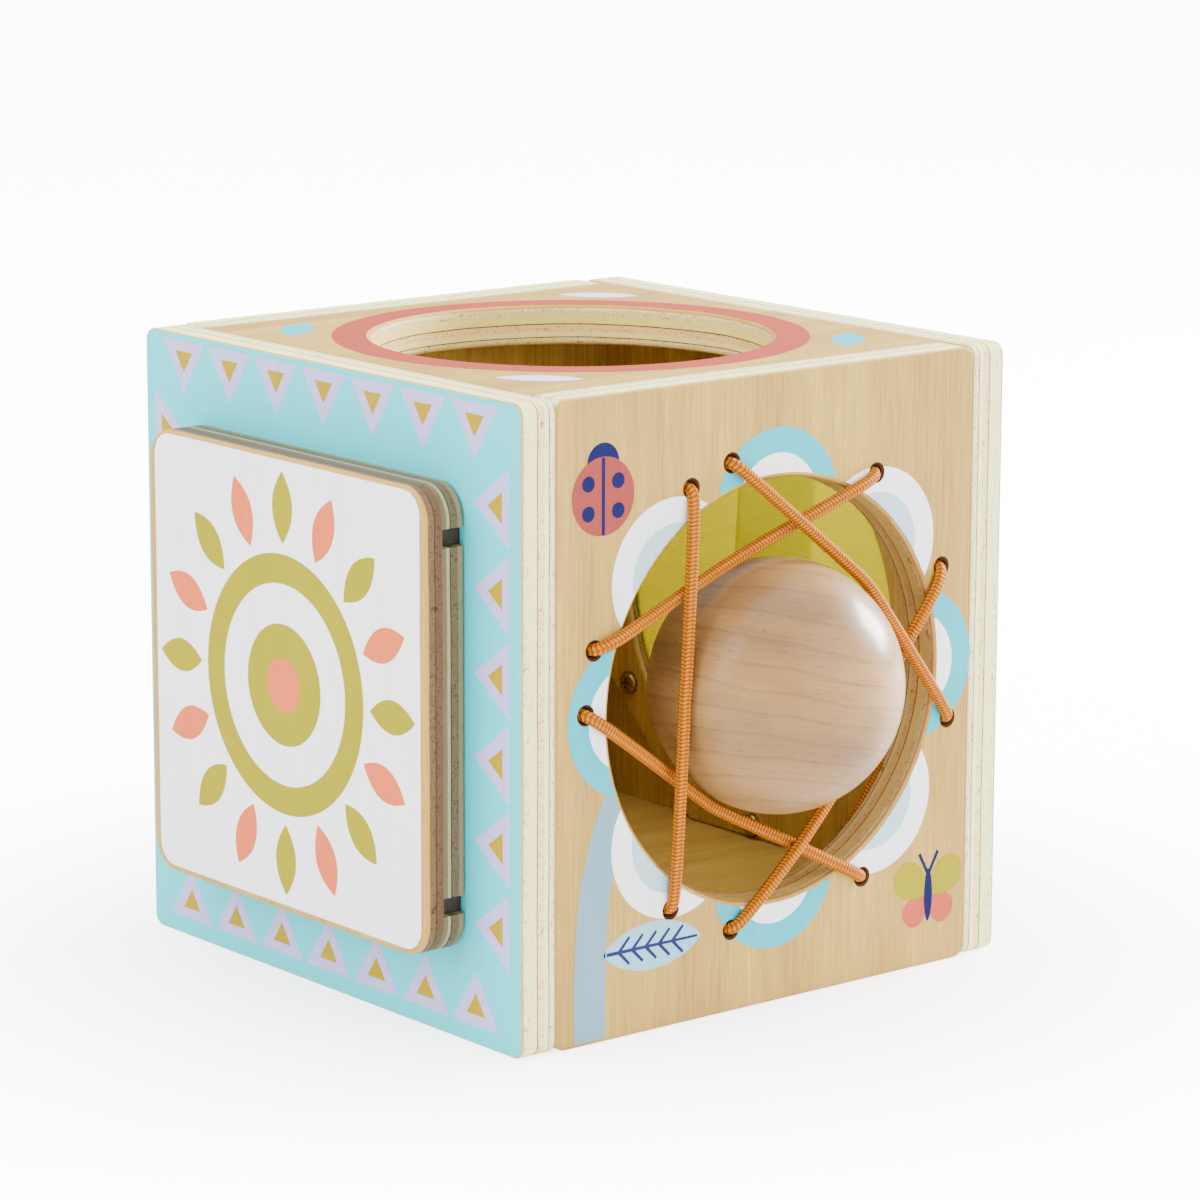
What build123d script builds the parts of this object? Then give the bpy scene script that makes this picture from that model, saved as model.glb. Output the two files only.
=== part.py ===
from build123d import *

import os
from math import asin, copysign, cos, pi, radians, sin

# Wooden activity cube. Four plywood walls stand round an inset top and bottom panel, joined by
# dowels. The front wall has a round opening laced with one elastic cord that holds a ball. The left
# wall has a round window behind a sliding door. The right wall has a round hole behind two
# overlapping fabric flaps, clamped by an octagonal frame. The top panel has a round posting hole.
# Frame: the origin is the middle of the cube's footprint on the floor. +X runs to the right along
# the laced front wall, +Y runs into the cube from that wall, and +Z is up. All sizes are in mm.

# cube and plywood
CUBE_W = 147.0
CUBE_D = 147.0
CUBE_H = 150.0
PLY = 10.0
PANEL_CORNER_R = 3.0
EDGE_R = 0.7
HOLE_EDGE_R = 1.3
FLOOR_RAISE = 5.0

# round openings
MID_Z = 75.2
BIG_HOLE_R = 50.0
POSTING_HOLE_R = 48.0
LACED_HOLE_X = 1.85
WINDOW_R = 35.0

# lacing: holes on a circle round the laced opening, numbered from 1, by angle in degrees
LACING_R = 56.9
LACING_ANGLES = (117.2, 104.2, 57.2, 23.5, -14.9, -60.6, -103.3, -123.7, 177.7, 162.8)
LACING_HOLE_R = 1.7
LACING_CHAMFER = 0.8
CORD_R = 1.5
CORD_STANDOFF = 0.05
CORD_HOLE_BEND_R = 2.2
CORD_RIM_REACH = 9.5
CORD_RIM_BEND_R = 12.0
KNOT_R = 3.4
KNOT_BITE = 1.0

# ball
BALL_R = 30.0
BALL_X = 2.0
BALL_Y = -73.5
BALL_Z = 76.4
BALL_CLEARANCE = 0.3

# sliding door and its runners
DOOR_W = 108.5
DOOR_H = 108.5
DOOR_T = 12.0
DOOR_CORNER_R = 8.0
DOOR_FRONT_EDGE_R = 1.6
DOOR_BACK_EDGE_R = 0.6
DOOR_Y = 0.8
DOOR_GAP = 0.3
GROOVE_SPACING = 85.2
GROOVE_DEPTH = 6.1
RUNNER_H = 4.3
RUNNER_L = 28.0
RUNNER_SETBACK = 2.3
RUNNING_GAP = 0.3
DOOR_TRAVEL = 82.0
RETAINER_H = 11.0
RETAINER_T = 5.0
RETAINER_OVERLAP = 1.0

# curtain
FABRIC_T = 0.5
FABRIC_INRADIUS = 59.4
FRAME_INRADIUS = 59.8
FRAME_T = 3.0
INNER_FLAP_EDGE_Y = 9.0
OUTER_FLAP_EDGE_Y = -19.0

# fasteners
FIT = 0.02
DOWEL_R = 3.0
DOWEL_L = 20.0
DOWEL_IN_WALL = 6.3
WALL_DOWEL_Z = (28.0, 122.0)
PANEL_DOWEL_Y = (-40.0, 40.0)
FRAME_SCREW_PITCH_R = 56.6
FRAME_SCREWS = 6
FRAME_SCREW_START = -30.0
FRAME_SCREW_R = 1.3
FRAME_SCREW_L = 9.0
FRAME_SCREW_HEAD_R = 3.0
RETAINER_SCREW_R = 1.0
RETAINER_SCREW_L = 13.0
RETAINER_SCREW_HEAD_R = 2.2
RETAINER_SCREW_SPACING = 17.0

# worked out
FRONT_Y = -CUBE_D / 2
LEFT_X = -CUBE_W / 2
RIGHT_X = CUBE_W / 2
INNER_X = CUBE_W / 2 - PLY
INNER_Y = CUBE_D / 2 - PLY
MID_WALL_Y = CUBE_D / 2 - PLY / 2
CORD_FRONT_Y = FRONT_Y - CORD_R - CORD_STANDOFF
CORD_BACK_Y = FRONT_Y + PLY + CORD_R + CORD_STANDOFF
CORD_CLEAR_R = BALL_R + CORD_R + BALL_CLEARANCE
DOOR_BACK_X = LEFT_X - DOOR_GAP
RUNNER_Z = (MID_Z - GROOVE_SPACING / 2, MID_Z + GROOVE_SPACING / 2)
RUNNER_Y0 = DOOR_Y - DOOR_W / 2 + RUNNER_SETBACK
RUNNER_MID_Y = RUNNER_Y0 + RUNNER_L / 2
FRAME_X = RIGHT_X - PLY - 2 * FABRIC_T - FRAME_T


def plate_yz(width, height, thickness, x, y, z, corner_r):
    """Plate in a YZ plane: its low-X face is at x and its middle at y, z."""
    outline = Plane((x, y, z), x_dir=(0, 1, 0), z_dir=(1, 0, 0)) * RectangleRounded(width, height, corner_r)
    return extrude(outline, amount=thickness)


def rod(start, direction, radius, length):
    """Round rod from its start point."""
    return extrude(Plane(start, z_dir=direction) * Circle(radius), amount=length)


def round_outline(panel, axis, radius):
    """Round the outline edges of a panel's two large faces, which face along the axis."""
    faces = panel.faces().filter_by(axis)
    edges = ShapeList([edge for face in faces for edge in face.outer_wire().edges()])
    return fillet(edges, radius)


def cut_round_hole(panel, axis, centre, radius):
    """Cut a round hole through a panel along the axis and round both its rims."""
    start = Vector(*centre) - axis.direction * CUBE_W
    drilled = panel - rod(start, axis.direction, radius, 2 * CUBE_W)
    rims = drilled.edges().filter_by(GeomType.CIRCLE)
    rims = rims.filter_by(lambda edge: abs(edge.radius - radius) < FIT / 2)
    return fillet(rims, HOLE_EDGE_R)


def wall_dowel_holes(x_side, y_side):
    """Rods that cut the dowel holes between a side wall and the front or back wall."""
    start_x = x_side * (INNER_X + DOWEL_IN_WALL + FIT)
    length = DOWEL_L + 2 * FIT
    starts = [(start_x, y_side * MID_WALL_Y, z) for z in WALL_DOWEL_Z]
    return [rod(start, (-x_side, 0, 0), DOWEL_R + FIT, length) for start in starts]


def wall_dowels(y_side):
    """Dowels that join the front or back wall to the two side walls."""
    dowels = []
    for x_side in (-1, 1):
        for z in WALL_DOWEL_Z:
            start = (x_side * (INNER_X + DOWEL_IN_WALL), y_side * MID_WALL_Y, z)
            dowels.append(chamfered_dowel(start, (-x_side, 0, 0)))
    return dowels


def chamfered_dowel(start, direction):
    """Dowel with chamfered ends."""
    dowel = rod(start, direction, DOWEL_R, DOWEL_L)
    return chamfer(dowel.edges().filter_by(GeomType.CIRCLE), 0.6)


def panel_dowel_starts(x_side, z):
    """Outer ends of the dowels between a side wall and the top or bottom panel."""
    return [(x_side * (INNER_X + DOWEL_IN_WALL), y, z) for y in PANEL_DOWEL_Y]


def panel_dowel_holes(x_side, z):
    """Rods that cut the dowel holes between a side wall and the top or bottom panel."""
    length = DOWEL_L + 2 * FIT
    starts = [Vector(*start) + Vector(x_side * FIT, 0, 0) for start in panel_dowel_starts(x_side, z)]
    return [rod(start, (-x_side, 0, 0), DOWEL_R + FIT, length) for start in starts]


def panel_dowels(z):
    """Dowels that join the top or bottom panel to the side walls."""
    starts = [(start, x_side) for x_side in (-1, 1) for start in panel_dowel_starts(x_side, z)]
    return [chamfered_dowel(start, (-x_side, 0, 0)) for start, x_side in starts]


TOP_Z = CUBE_H - PLY / 2
BOTTOM_Z = FLOOR_RAISE + PLY / 2


def cut_all(panel, tools):
    """Cut each tool out of the panel in turn."""
    for tool in tools:
        panel = panel - tool
    return panel


def side_wall(x_side):
    """Plain full-depth side wall with its dowel holes."""
    low_x = LEFT_X if x_side < 0 else INNER_X
    wall = plate_yz(CUBE_D, CUBE_H, PLY, low_x, 0, CUBE_H / 2, PANEL_CORNER_R)
    return round_outline(wall, Axis.X, EDGE_R)


def side_wall_dowel_tools(x_side):
    """Every dowel hole in one side wall."""
    tools = wall_dowel_holes(x_side, -1) + wall_dowel_holes(x_side, 1)
    return tools + panel_dowel_holes(x_side, TOP_Z) + panel_dowel_holes(x_side, BOTTOM_Z)


def left_panel():
    """Side wall with the round window and the two slots that the door's runners slide in."""
    wall = cut_round_hole(side_wall(-1), Axis.X, (LEFT_X, 0, MID_Z), WINDOW_R)
    slot_start = RUNNER_Y0 - RUNNING_GAP
    slot_length = RUNNER_L + DOOR_TRAVEL + 2 * RUNNING_GAP
    for z in RUNNER_Z:
        middle = (LEFT_X - PLY / 2, slot_start + slot_length / 2, z)
        height = RUNNER_H + 2 * RUNNING_GAP
        wall = wall - plate_yz(slot_length, height, 2 * PLY, *middle, 0.5)
    return cut_all(wall, side_wall_dowel_tools(-1))


def frame_screw_places():
    """Places of the curtain frame's screws on the inside face of the frame."""
    angles = [radians(FRAME_SCREW_START + 360.0 / FRAME_SCREWS * i) for i in range(FRAME_SCREWS)]
    return [
        Vector(FRAME_X, FRAME_SCREW_PITCH_R * cos(angle), MID_Z + FRAME_SCREW_PITCH_R * sin(angle))
        for angle in angles
    ]


def right_panel():
    """Side wall with the fabric-covered hole and pilot holes for the curtain screws."""
    wall = cut_round_hole(side_wall(1), Axis.X, (RIGHT_X, 0, MID_Z), BIG_HOLE_R)
    pilots = [rod(p, (1, 0, 0), FRAME_SCREW_R + FIT, FRAME_SCREW_L + FIT) for p in frame_screw_places()]
    return cut_all(wall, pilots + side_wall_dowel_tools(1))


def cross_wall(y_side):
    """Front or back wall, between the side walls."""
    low_y = FRONT_Y if y_side < 0 else INNER_Y
    plane = Plane((0, low_y, CUBE_H / 2), x_dir=(-1, 0, 0), z_dir=(0, 1, 0))
    wall = extrude(plane * RectangleRounded(2 * INNER_X, CUBE_H, PANEL_CORNER_R), amount=PLY)
    return round_outline(wall, Axis.Y, EDGE_R)


def lacing_place(number):
    """(x, z) of a lacing hole, by its number from 1."""
    angle = radians(LACING_ANGLES[number - 1])
    return LACED_HOLE_X + LACING_R * cos(angle), MID_Z + LACING_R * sin(angle)


def front_panel():
    """Front wall with the laced opening and the lacing holes, countersunk on both faces."""
    wall = cut_round_hole(cross_wall(-1), Axis.Y, (LACED_HOLE_X, FRONT_Y, MID_Z), BIG_HOLE_R)
    sink_r = LACING_HOLE_R + LACING_CHAMFER
    for number in range(1, len(LACING_ANGLES) + 1):
        x, z = lacing_place(number)
        wall = wall - rod((x, FRONT_Y - PLY, z), (0, 1, 0), LACING_HOLE_R, 3 * PLY)
        for face_y, inward in ((FRONT_Y, 1), (-INNER_Y, -1)):
            middle_y = face_y + inward * LACING_CHAMFER / 2
            cone = Cone(sink_r, LACING_HOLE_R, LACING_CHAMFER)
            wall = wall - Plane((x, middle_y, z), z_dir=(0, inward, 0)) * cone
    return cut_all(wall, wall_dowel_holes(-1, -1) + wall_dowel_holes(1, -1))


def back_panel():
    """Plain back wall."""
    return cut_all(cross_wall(1), wall_dowel_holes(-1, 1) + wall_dowel_holes(1, 1))


def inset_panel(middle_z):
    """Square panel set in between the four walls."""
    plane = Plane((0, 0, middle_z - PLY / 2))
    panel = extrude(plane * Rectangle(2 * INNER_X, 2 * INNER_Y), amount=PLY)
    tools = panel_dowel_holes(-1, middle_z) + panel_dowel_holes(1, middle_z)
    return round_outline(panel, Axis.Z, EDGE_R / 2), tools


def top_panel():
    """Top panel with the posting hole."""
    panel, tools = inset_panel(TOP_Z)
    return cut_all(cut_round_hole(panel, Axis.Z, (0, 0, TOP_Z), POSTING_HOLE_R), tools)


def bottom_panel():
    """Plain bottom panel."""
    panel, tools = inset_panel(BOTTOM_Z)
    return cut_all(panel, tools)


def sun_door():
    """Thick rounded plate with two grooves across its back, open at both ends."""
    x = DOOR_BACK_X - DOOR_T
    door = plate_yz(DOOR_W, DOOR_H, DOOR_T, x, DOOR_Y, MID_Z, DOOR_CORNER_R)
    faces = door.faces().filter_by(Axis.X).sort_by(Axis.X)
    door = fillet(faces[0].outer_wire().edges(), DOOR_FRONT_EDGE_R)
    faces = door.faces().filter_by(Axis.X).sort_by(Axis.X)
    door = fillet(faces[-1].outer_wire().edges(), DOOR_BACK_EDGE_R)
    for z in RUNNER_Z:
        middle = Location((DOOR_BACK_X - GROOVE_DEPTH / 2 + DOOR_GAP, DOOR_Y, z))
        door = door - middle * Box(GROOVE_DEPTH + 2 * DOOR_GAP, 2 * DOOR_W, RUNNER_H + 2 * FIT)
    return door


def retainer_screw_places(z):
    """Places of one retainer's screws on its inside face."""
    x = LEFT_X + PLY + DOOR_GAP + RETAINER_T
    return [Vector(x, RUNNER_MID_Y + side * RETAINER_SCREW_SPACING / 2, z) for side in (-1, 1)]


def runner(z):
    """Tongue glued in a door groove; it reaches through the wall to the retainer."""
    low_x = DOOR_BACK_X - GROOVE_DEPTH + DOOR_GAP
    high_x = LEFT_X + PLY + DOOR_GAP
    middle = Location(((low_x + high_x) / 2, RUNNER_MID_Y, z))
    tongue = middle * Box(high_x - low_x, RUNNER_L, RUNNER_H)
    pilots = [
        rod(p, (-1, 0, 0), RETAINER_SCREW_R + FIT, RETAINER_SCREW_L + FIT) for p in retainer_screw_places(z)
    ]
    return cut_all(tongue, pilots)


def retainer(z):
    """Strip behind the wall that keeps a runner from pulling out through its slot."""
    low_x = LEFT_X + PLY + DOOR_GAP
    length = RUNNER_L + 2 * RETAINER_OVERLAP
    strip = plate_yz(length, RETAINER_H, RETAINER_T, low_x, RUNNER_MID_Y, z, 1.5)
    holes = [
        rod(p, (-1, 0, 0), RETAINER_SCREW_R + 0.2, RETAINER_T) for p in retainer_screw_places(z)
    ]
    return cut_all(strip, holes)


def pan_screw(place, direction, shank_r, length, head_r):
    """Cross-head screw: place is the middle of the face under its head, direction is into the wood."""
    outward = Vector(*direction) * -1
    head_h = 0.55 * head_r
    head = rod(place, outward, head_r, head_h)
    far_rim = head.edges().filter_by(GeomType.CIRCLE).sort_by(Axis(place, outward))[-1]
    head = fillet(far_rim, 0.7 * head_h)
    tip_l = 2 * shank_r
    shank = rod(place, direction, shank_r, length - tip_l)
    tip_middle = Vector(*place) + Vector(*direction) * (length - tip_l / 2)
    tip = Plane(tip_middle, z_dir=direction) * Cone(shank_r, 0.15 * shank_r, tip_l)
    screw = head + shank + tip
    recess = Plane(Vector(*place) + outward * head_h, z_dir=direction)
    for arms in ((head_r, 0.22 * head_r), (0.22 * head_r, head_r)):
        screw = screw - recess * Box(*arms, head_h)
    return screw


def frame_screws():
    """Screws that clamp the curtain frame and the fabric to the right wall."""
    size = (FRAME_SCREW_R, FRAME_SCREW_L, FRAME_SCREW_HEAD_R)
    return [pan_screw(place, (1, 0, 0), *size) for place in frame_screw_places()]


def retainer_screws():
    """Screws that hold the retainers to the runners."""
    size = (RETAINER_SCREW_R, RETAINER_SCREW_L, RETAINER_SCREW_HEAD_R)
    places = [place for z in RUNNER_Z for place in retainer_screw_places(z)]
    return [pan_screw(place, (-1, 0, 0), *size) for place in places]


def octagon(inradius, thickness, x):
    """Octagonal plate with a flat side down: its low-X face is at x."""
    plane = Plane((x, 0, MID_Z), x_dir=(0, 1, 0), z_dir=(1, 0, 0))
    outline = RegularPolygon(inradius, 8, major_radius=False, rotation=22.5)
    return extrude(plane * outline, amount=thickness)


def curtain_frame():
    """Octagonal plywood ring that clamps the fabric."""
    ring = cut_round_hole(octagon(FRAME_INRADIUS, FRAME_T, FRAME_X), Axis.X, (FRAME_X, 0, MID_Z), BIG_HOLE_R)
    holes = [rod(p, (1, 0, 0), FRAME_SCREW_R + 0.2, FRAME_T) for p in frame_screw_places()]
    return cut_all(ring, holes)


def curtain_flap(x, low_y, high_y):
    """Flat fabric flap, clamped round its rim, with its free edge across the hole."""
    sheet = octagon(FABRIC_INRADIUS, FABRIC_T, x)
    keep = Location((x, (low_y + high_y) / 2, MID_Z)) * Box(PLY, high_y - low_y, CUBE_H)
    holes = [rod(p, (1, 0, 0), FRAME_SCREW_R + 0.2, PLY) for p in frame_screw_places()]
    return cut_all(sheet & keep, holes)


def bend_round_ball(start, end):
    """(x, z) corner of a taut cord that goes round the ball, or None where the ball is clear of it."""
    ball = Vector(BALL_X, BALL_Z)
    along = (end - start).normalized()
    side = Vector(-along.Y, along.X)
    offset = (start - ball).dot(side)
    if abs(offset) >= CORD_CLEAR_R:
        return None
    turns = []
    for point in (start, end):
        reach = (point - ball).length
        turns.append(asin(CORD_CLEAR_R / reach) - asin(abs(offset) / reach))
    distance = (end - start).length * sin(turns[1]) / sin(sum(turns))
    return start + (along * cos(turns[0]) + side * copysign(sin(turns[0]), offset)) * distance


def rim_place(hole, towards):
    """Place where a run that dips into the opening leaves the face of the wall."""
    return hole + (towards - hole).normalized() * CORD_RIM_REACH


def front_run(first, last, middle_lift, crossing_lifts):
    """Corners of the cord's run over the front between two lacing holes, and their bend radii.

    A lift moves the cord out of the wall's plane, away from the cube, where runs cross.
    """
    start, end = Vector(*lacing_place(first)), Vector(*lacing_place(last))
    corner = bend_round_ball(start, end)
    bend_r = CORD_CLEAR_R if corner else 60.0
    corner = corner or (start + end) * 0.5
    flat = [(corner, middle_lift, bend_r)]
    if crossing_lifts:
        flat.insert(0, ((start + corner) * 0.5, crossing_lifts[0], CORD_RIM_BEND_R))
        flat.append(((corner + end) * 0.5, crossing_lifts[1], CORD_RIM_BEND_R))
    if flat[0][1] < 0:
        flat.insert(0, (rim_place(start, flat[0][0]), 0.0, CORD_RIM_BEND_R))
    if flat[-1][1] < 0:
        flat.append((rim_place(end, flat[-1][0]), 0.0, CORD_RIM_BEND_R))
    return [(Vector(place.X, CORD_FRONT_Y - lift, place.Y), r) for place, lift, r in flat]


# runs over the front, in threading order: first hole, last hole, lift at the middle, lifts at crossings
FRONT_RUNS = (
    (1, 8, 3.2, ()),
    (7, 4, 0.0, (1.5, -1.9)),
    (3, 10, -3.4, ()),
    (9, 6, -4.4, ()),
    (5, 2, 4.2, ()),
)


def knot_centre():
    """Middle of the cord's last run on the inside, where its ends are tied."""
    first, last = Vector(*lacing_place(1)), Vector(*lacing_place(2))
    middle = (first + last) * 0.5
    return Vector(middle.X, CORD_BACK_Y + KNOT_R - CORD_R, middle.Y), (first - last).normalized()


def cord_path():
    """Centre line of the lacing, from the knot round every run and back to the knot."""
    knot, towards_first = knot_centre()
    towards_first = Vector(towards_first.X, 0, towards_first.Y)
    end_reach = KNOT_R - KNOT_BITE
    knot = Vector(knot.X, CORD_BACK_Y, knot.Z)
    corners = []
    for first, last, middle_lift, crossing_lifts in FRONT_RUNS:
        x, z = lacing_place(first)
        corners += [(Vector(x, CORD_BACK_Y, z), CORD_HOLE_BEND_R), (Vector(x, CORD_FRONT_Y, z), CORD_HOLE_BEND_R)]
        corners += front_run(first, last, middle_lift, crossing_lifts)
        x, z = lacing_place(last)
        corners += [(Vector(x, CORD_FRONT_Y, z), CORD_HOLE_BEND_R), (Vector(x, CORD_BACK_Y, z), CORD_HOLE_BEND_R)]
    points = [knot + towards_first * end_reach] + [place for place, _ in corners]
    points.append(knot - towards_first * end_reach)
    return FilletPolyline(*points, radius=[r for _, r in corners])


def elastic_lacing():
    """The one elastic cord as a plain tube."""
    path = cord_path()
    cord = sweep(Plane(path @ 0, z_dir=path % 0) * Circle(CORD_R), path=path)
    expected = pi * CORD_R**2 * path.length
    print(f"elastic length {path.length:.1f} mm, volume {cord.volume:.0f} of {expected:.0f} mm3")
    return cord


def write(name, solids):
    """Write one node, as one solid or as a group of separate solids."""
    group = solids if isinstance(solids, list) else [solids]
    pieces = [solid for item in group for solid in item.solids()]
    shape = pieces[0] if len(pieces) == 1 else Compound(children=pieces)
    export_step(shape, f"parts/{name}.step")


def main():
    """Build every piece and write its STEP file."""
    os.makedirs("parts", exist_ok=True)
    knot, _ = knot_centre()
    low_z, high_z = RUNNER_Z
    write("front_panel", front_panel())
    write("back_panel", back_panel())
    write("left_panel", left_panel())
    write("right_panel", right_panel())
    write("top_panel", top_panel())
    write("bottom_panel", bottom_panel())
    write("front_wall_dowels", wall_dowels(-1))
    write("back_wall_dowels", wall_dowels(1))
    write("top_dowels", panel_dowels(TOP_Z))
    write("bottom_dowels", panel_dowels(BOTTOM_Z))
    write("sun_door", sun_door())
    write("lower_runner", runner(low_z))
    write("upper_runner", runner(high_z))
    write("lower_retainer", retainer(low_z))
    write("upper_retainer", retainer(high_z))
    write("retainer_screws", retainer_screws())
    write("elastic_lacing", elastic_lacing())
    write("lacing_knot", Location(knot) * Sphere(KNOT_R))
    write("ball", Location((BALL_X, BALL_Y, BALL_Z)) * Sphere(BALL_R))
    write("outer_curtain_flap", curtain_flap(INNER_X - FABRIC_T, OUTER_FLAP_EDGE_Y, CUBE_W / 2))
    write("inner_curtain_flap", curtain_flap(INNER_X - 2 * FABRIC_T, -CUBE_W / 2, INNER_FLAP_EDGE_Y))
    write("curtain_frame", curtain_frame())
    write("curtain_screws", frame_screws())


main()
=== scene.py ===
import logging
import math
from dataclasses import dataclass
from enum import Enum
from typing import Callable, Iterable, Optional, Sequence

import bmesh
import bpy
from mathutils import Matrix, Vector


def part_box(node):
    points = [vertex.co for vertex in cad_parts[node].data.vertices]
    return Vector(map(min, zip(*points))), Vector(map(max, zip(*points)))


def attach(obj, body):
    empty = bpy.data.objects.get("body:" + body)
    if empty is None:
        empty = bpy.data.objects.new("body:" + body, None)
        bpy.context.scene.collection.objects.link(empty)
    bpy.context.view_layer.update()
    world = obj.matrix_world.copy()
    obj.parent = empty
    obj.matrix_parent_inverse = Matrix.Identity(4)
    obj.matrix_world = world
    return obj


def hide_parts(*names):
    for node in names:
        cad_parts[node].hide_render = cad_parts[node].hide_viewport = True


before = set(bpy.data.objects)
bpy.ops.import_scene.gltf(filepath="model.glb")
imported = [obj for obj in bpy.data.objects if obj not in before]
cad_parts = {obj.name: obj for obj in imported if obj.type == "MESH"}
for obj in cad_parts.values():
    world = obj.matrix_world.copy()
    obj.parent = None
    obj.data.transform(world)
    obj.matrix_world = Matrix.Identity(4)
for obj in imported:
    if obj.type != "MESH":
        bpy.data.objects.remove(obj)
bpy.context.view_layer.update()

NODES: dict[str, bpy.types.Object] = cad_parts
MM = 0.001
LOG = logging.getLogger("activity_cube")

Colour = tuple[int, int, int]
Point = tuple[float, float]

# dye and paint colours, as 8-bit display values
WHITE_PAINT: Colour = (246, 246, 246)
OLIVE: Colour = (152, 141, 2)
SALMON: Colour = (216, 104, 62)
NAVY: Colour = (14, 18, 74)
SOFT_NAVY: Colour = (34, 40, 88)
TURQUOISE: Colour = (30, 202, 216)
LILAC: Colour = (180, 170, 218)
MUSTARD: Colour = (166, 138, 2)
PETAL_BLUE: Colour = (40, 176, 192)
PETAL_WHITE: Colour = (245, 242, 246)
PETAL_GREY: Colour = (172, 202, 215)
STEM_BLUE: Colour = (120, 152, 170)
LEAF_BLUE: Colour = (138, 186, 208)
WING_PINK: Colour = (184, 84, 64)
SHELL_PINK: Colour = (146, 62, 54)
RING_PINK: Colour = (160, 66, 50)
PALE_LILAC: Colour = (213, 207, 243)


def linear(colour: Colour) -> tuple[float, float, float, float]:
    """Turn an 8-bit display colour into a linear colour with full alpha."""

    def channel(value: int) -> float:
        share = value / 255
        return share / 12.92 if share <= 0.04045 else ((share + 0.055) / 1.055) ** 2.4

    return (channel(colour[0]), channel(colour[1]), channel(colour[2]), 1.0)


def shade(colour: Colour, share: float) -> Colour:
    """Darken or lighten a display colour by a share."""
    return tuple(round(channel * share) for channel in colour)


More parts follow.
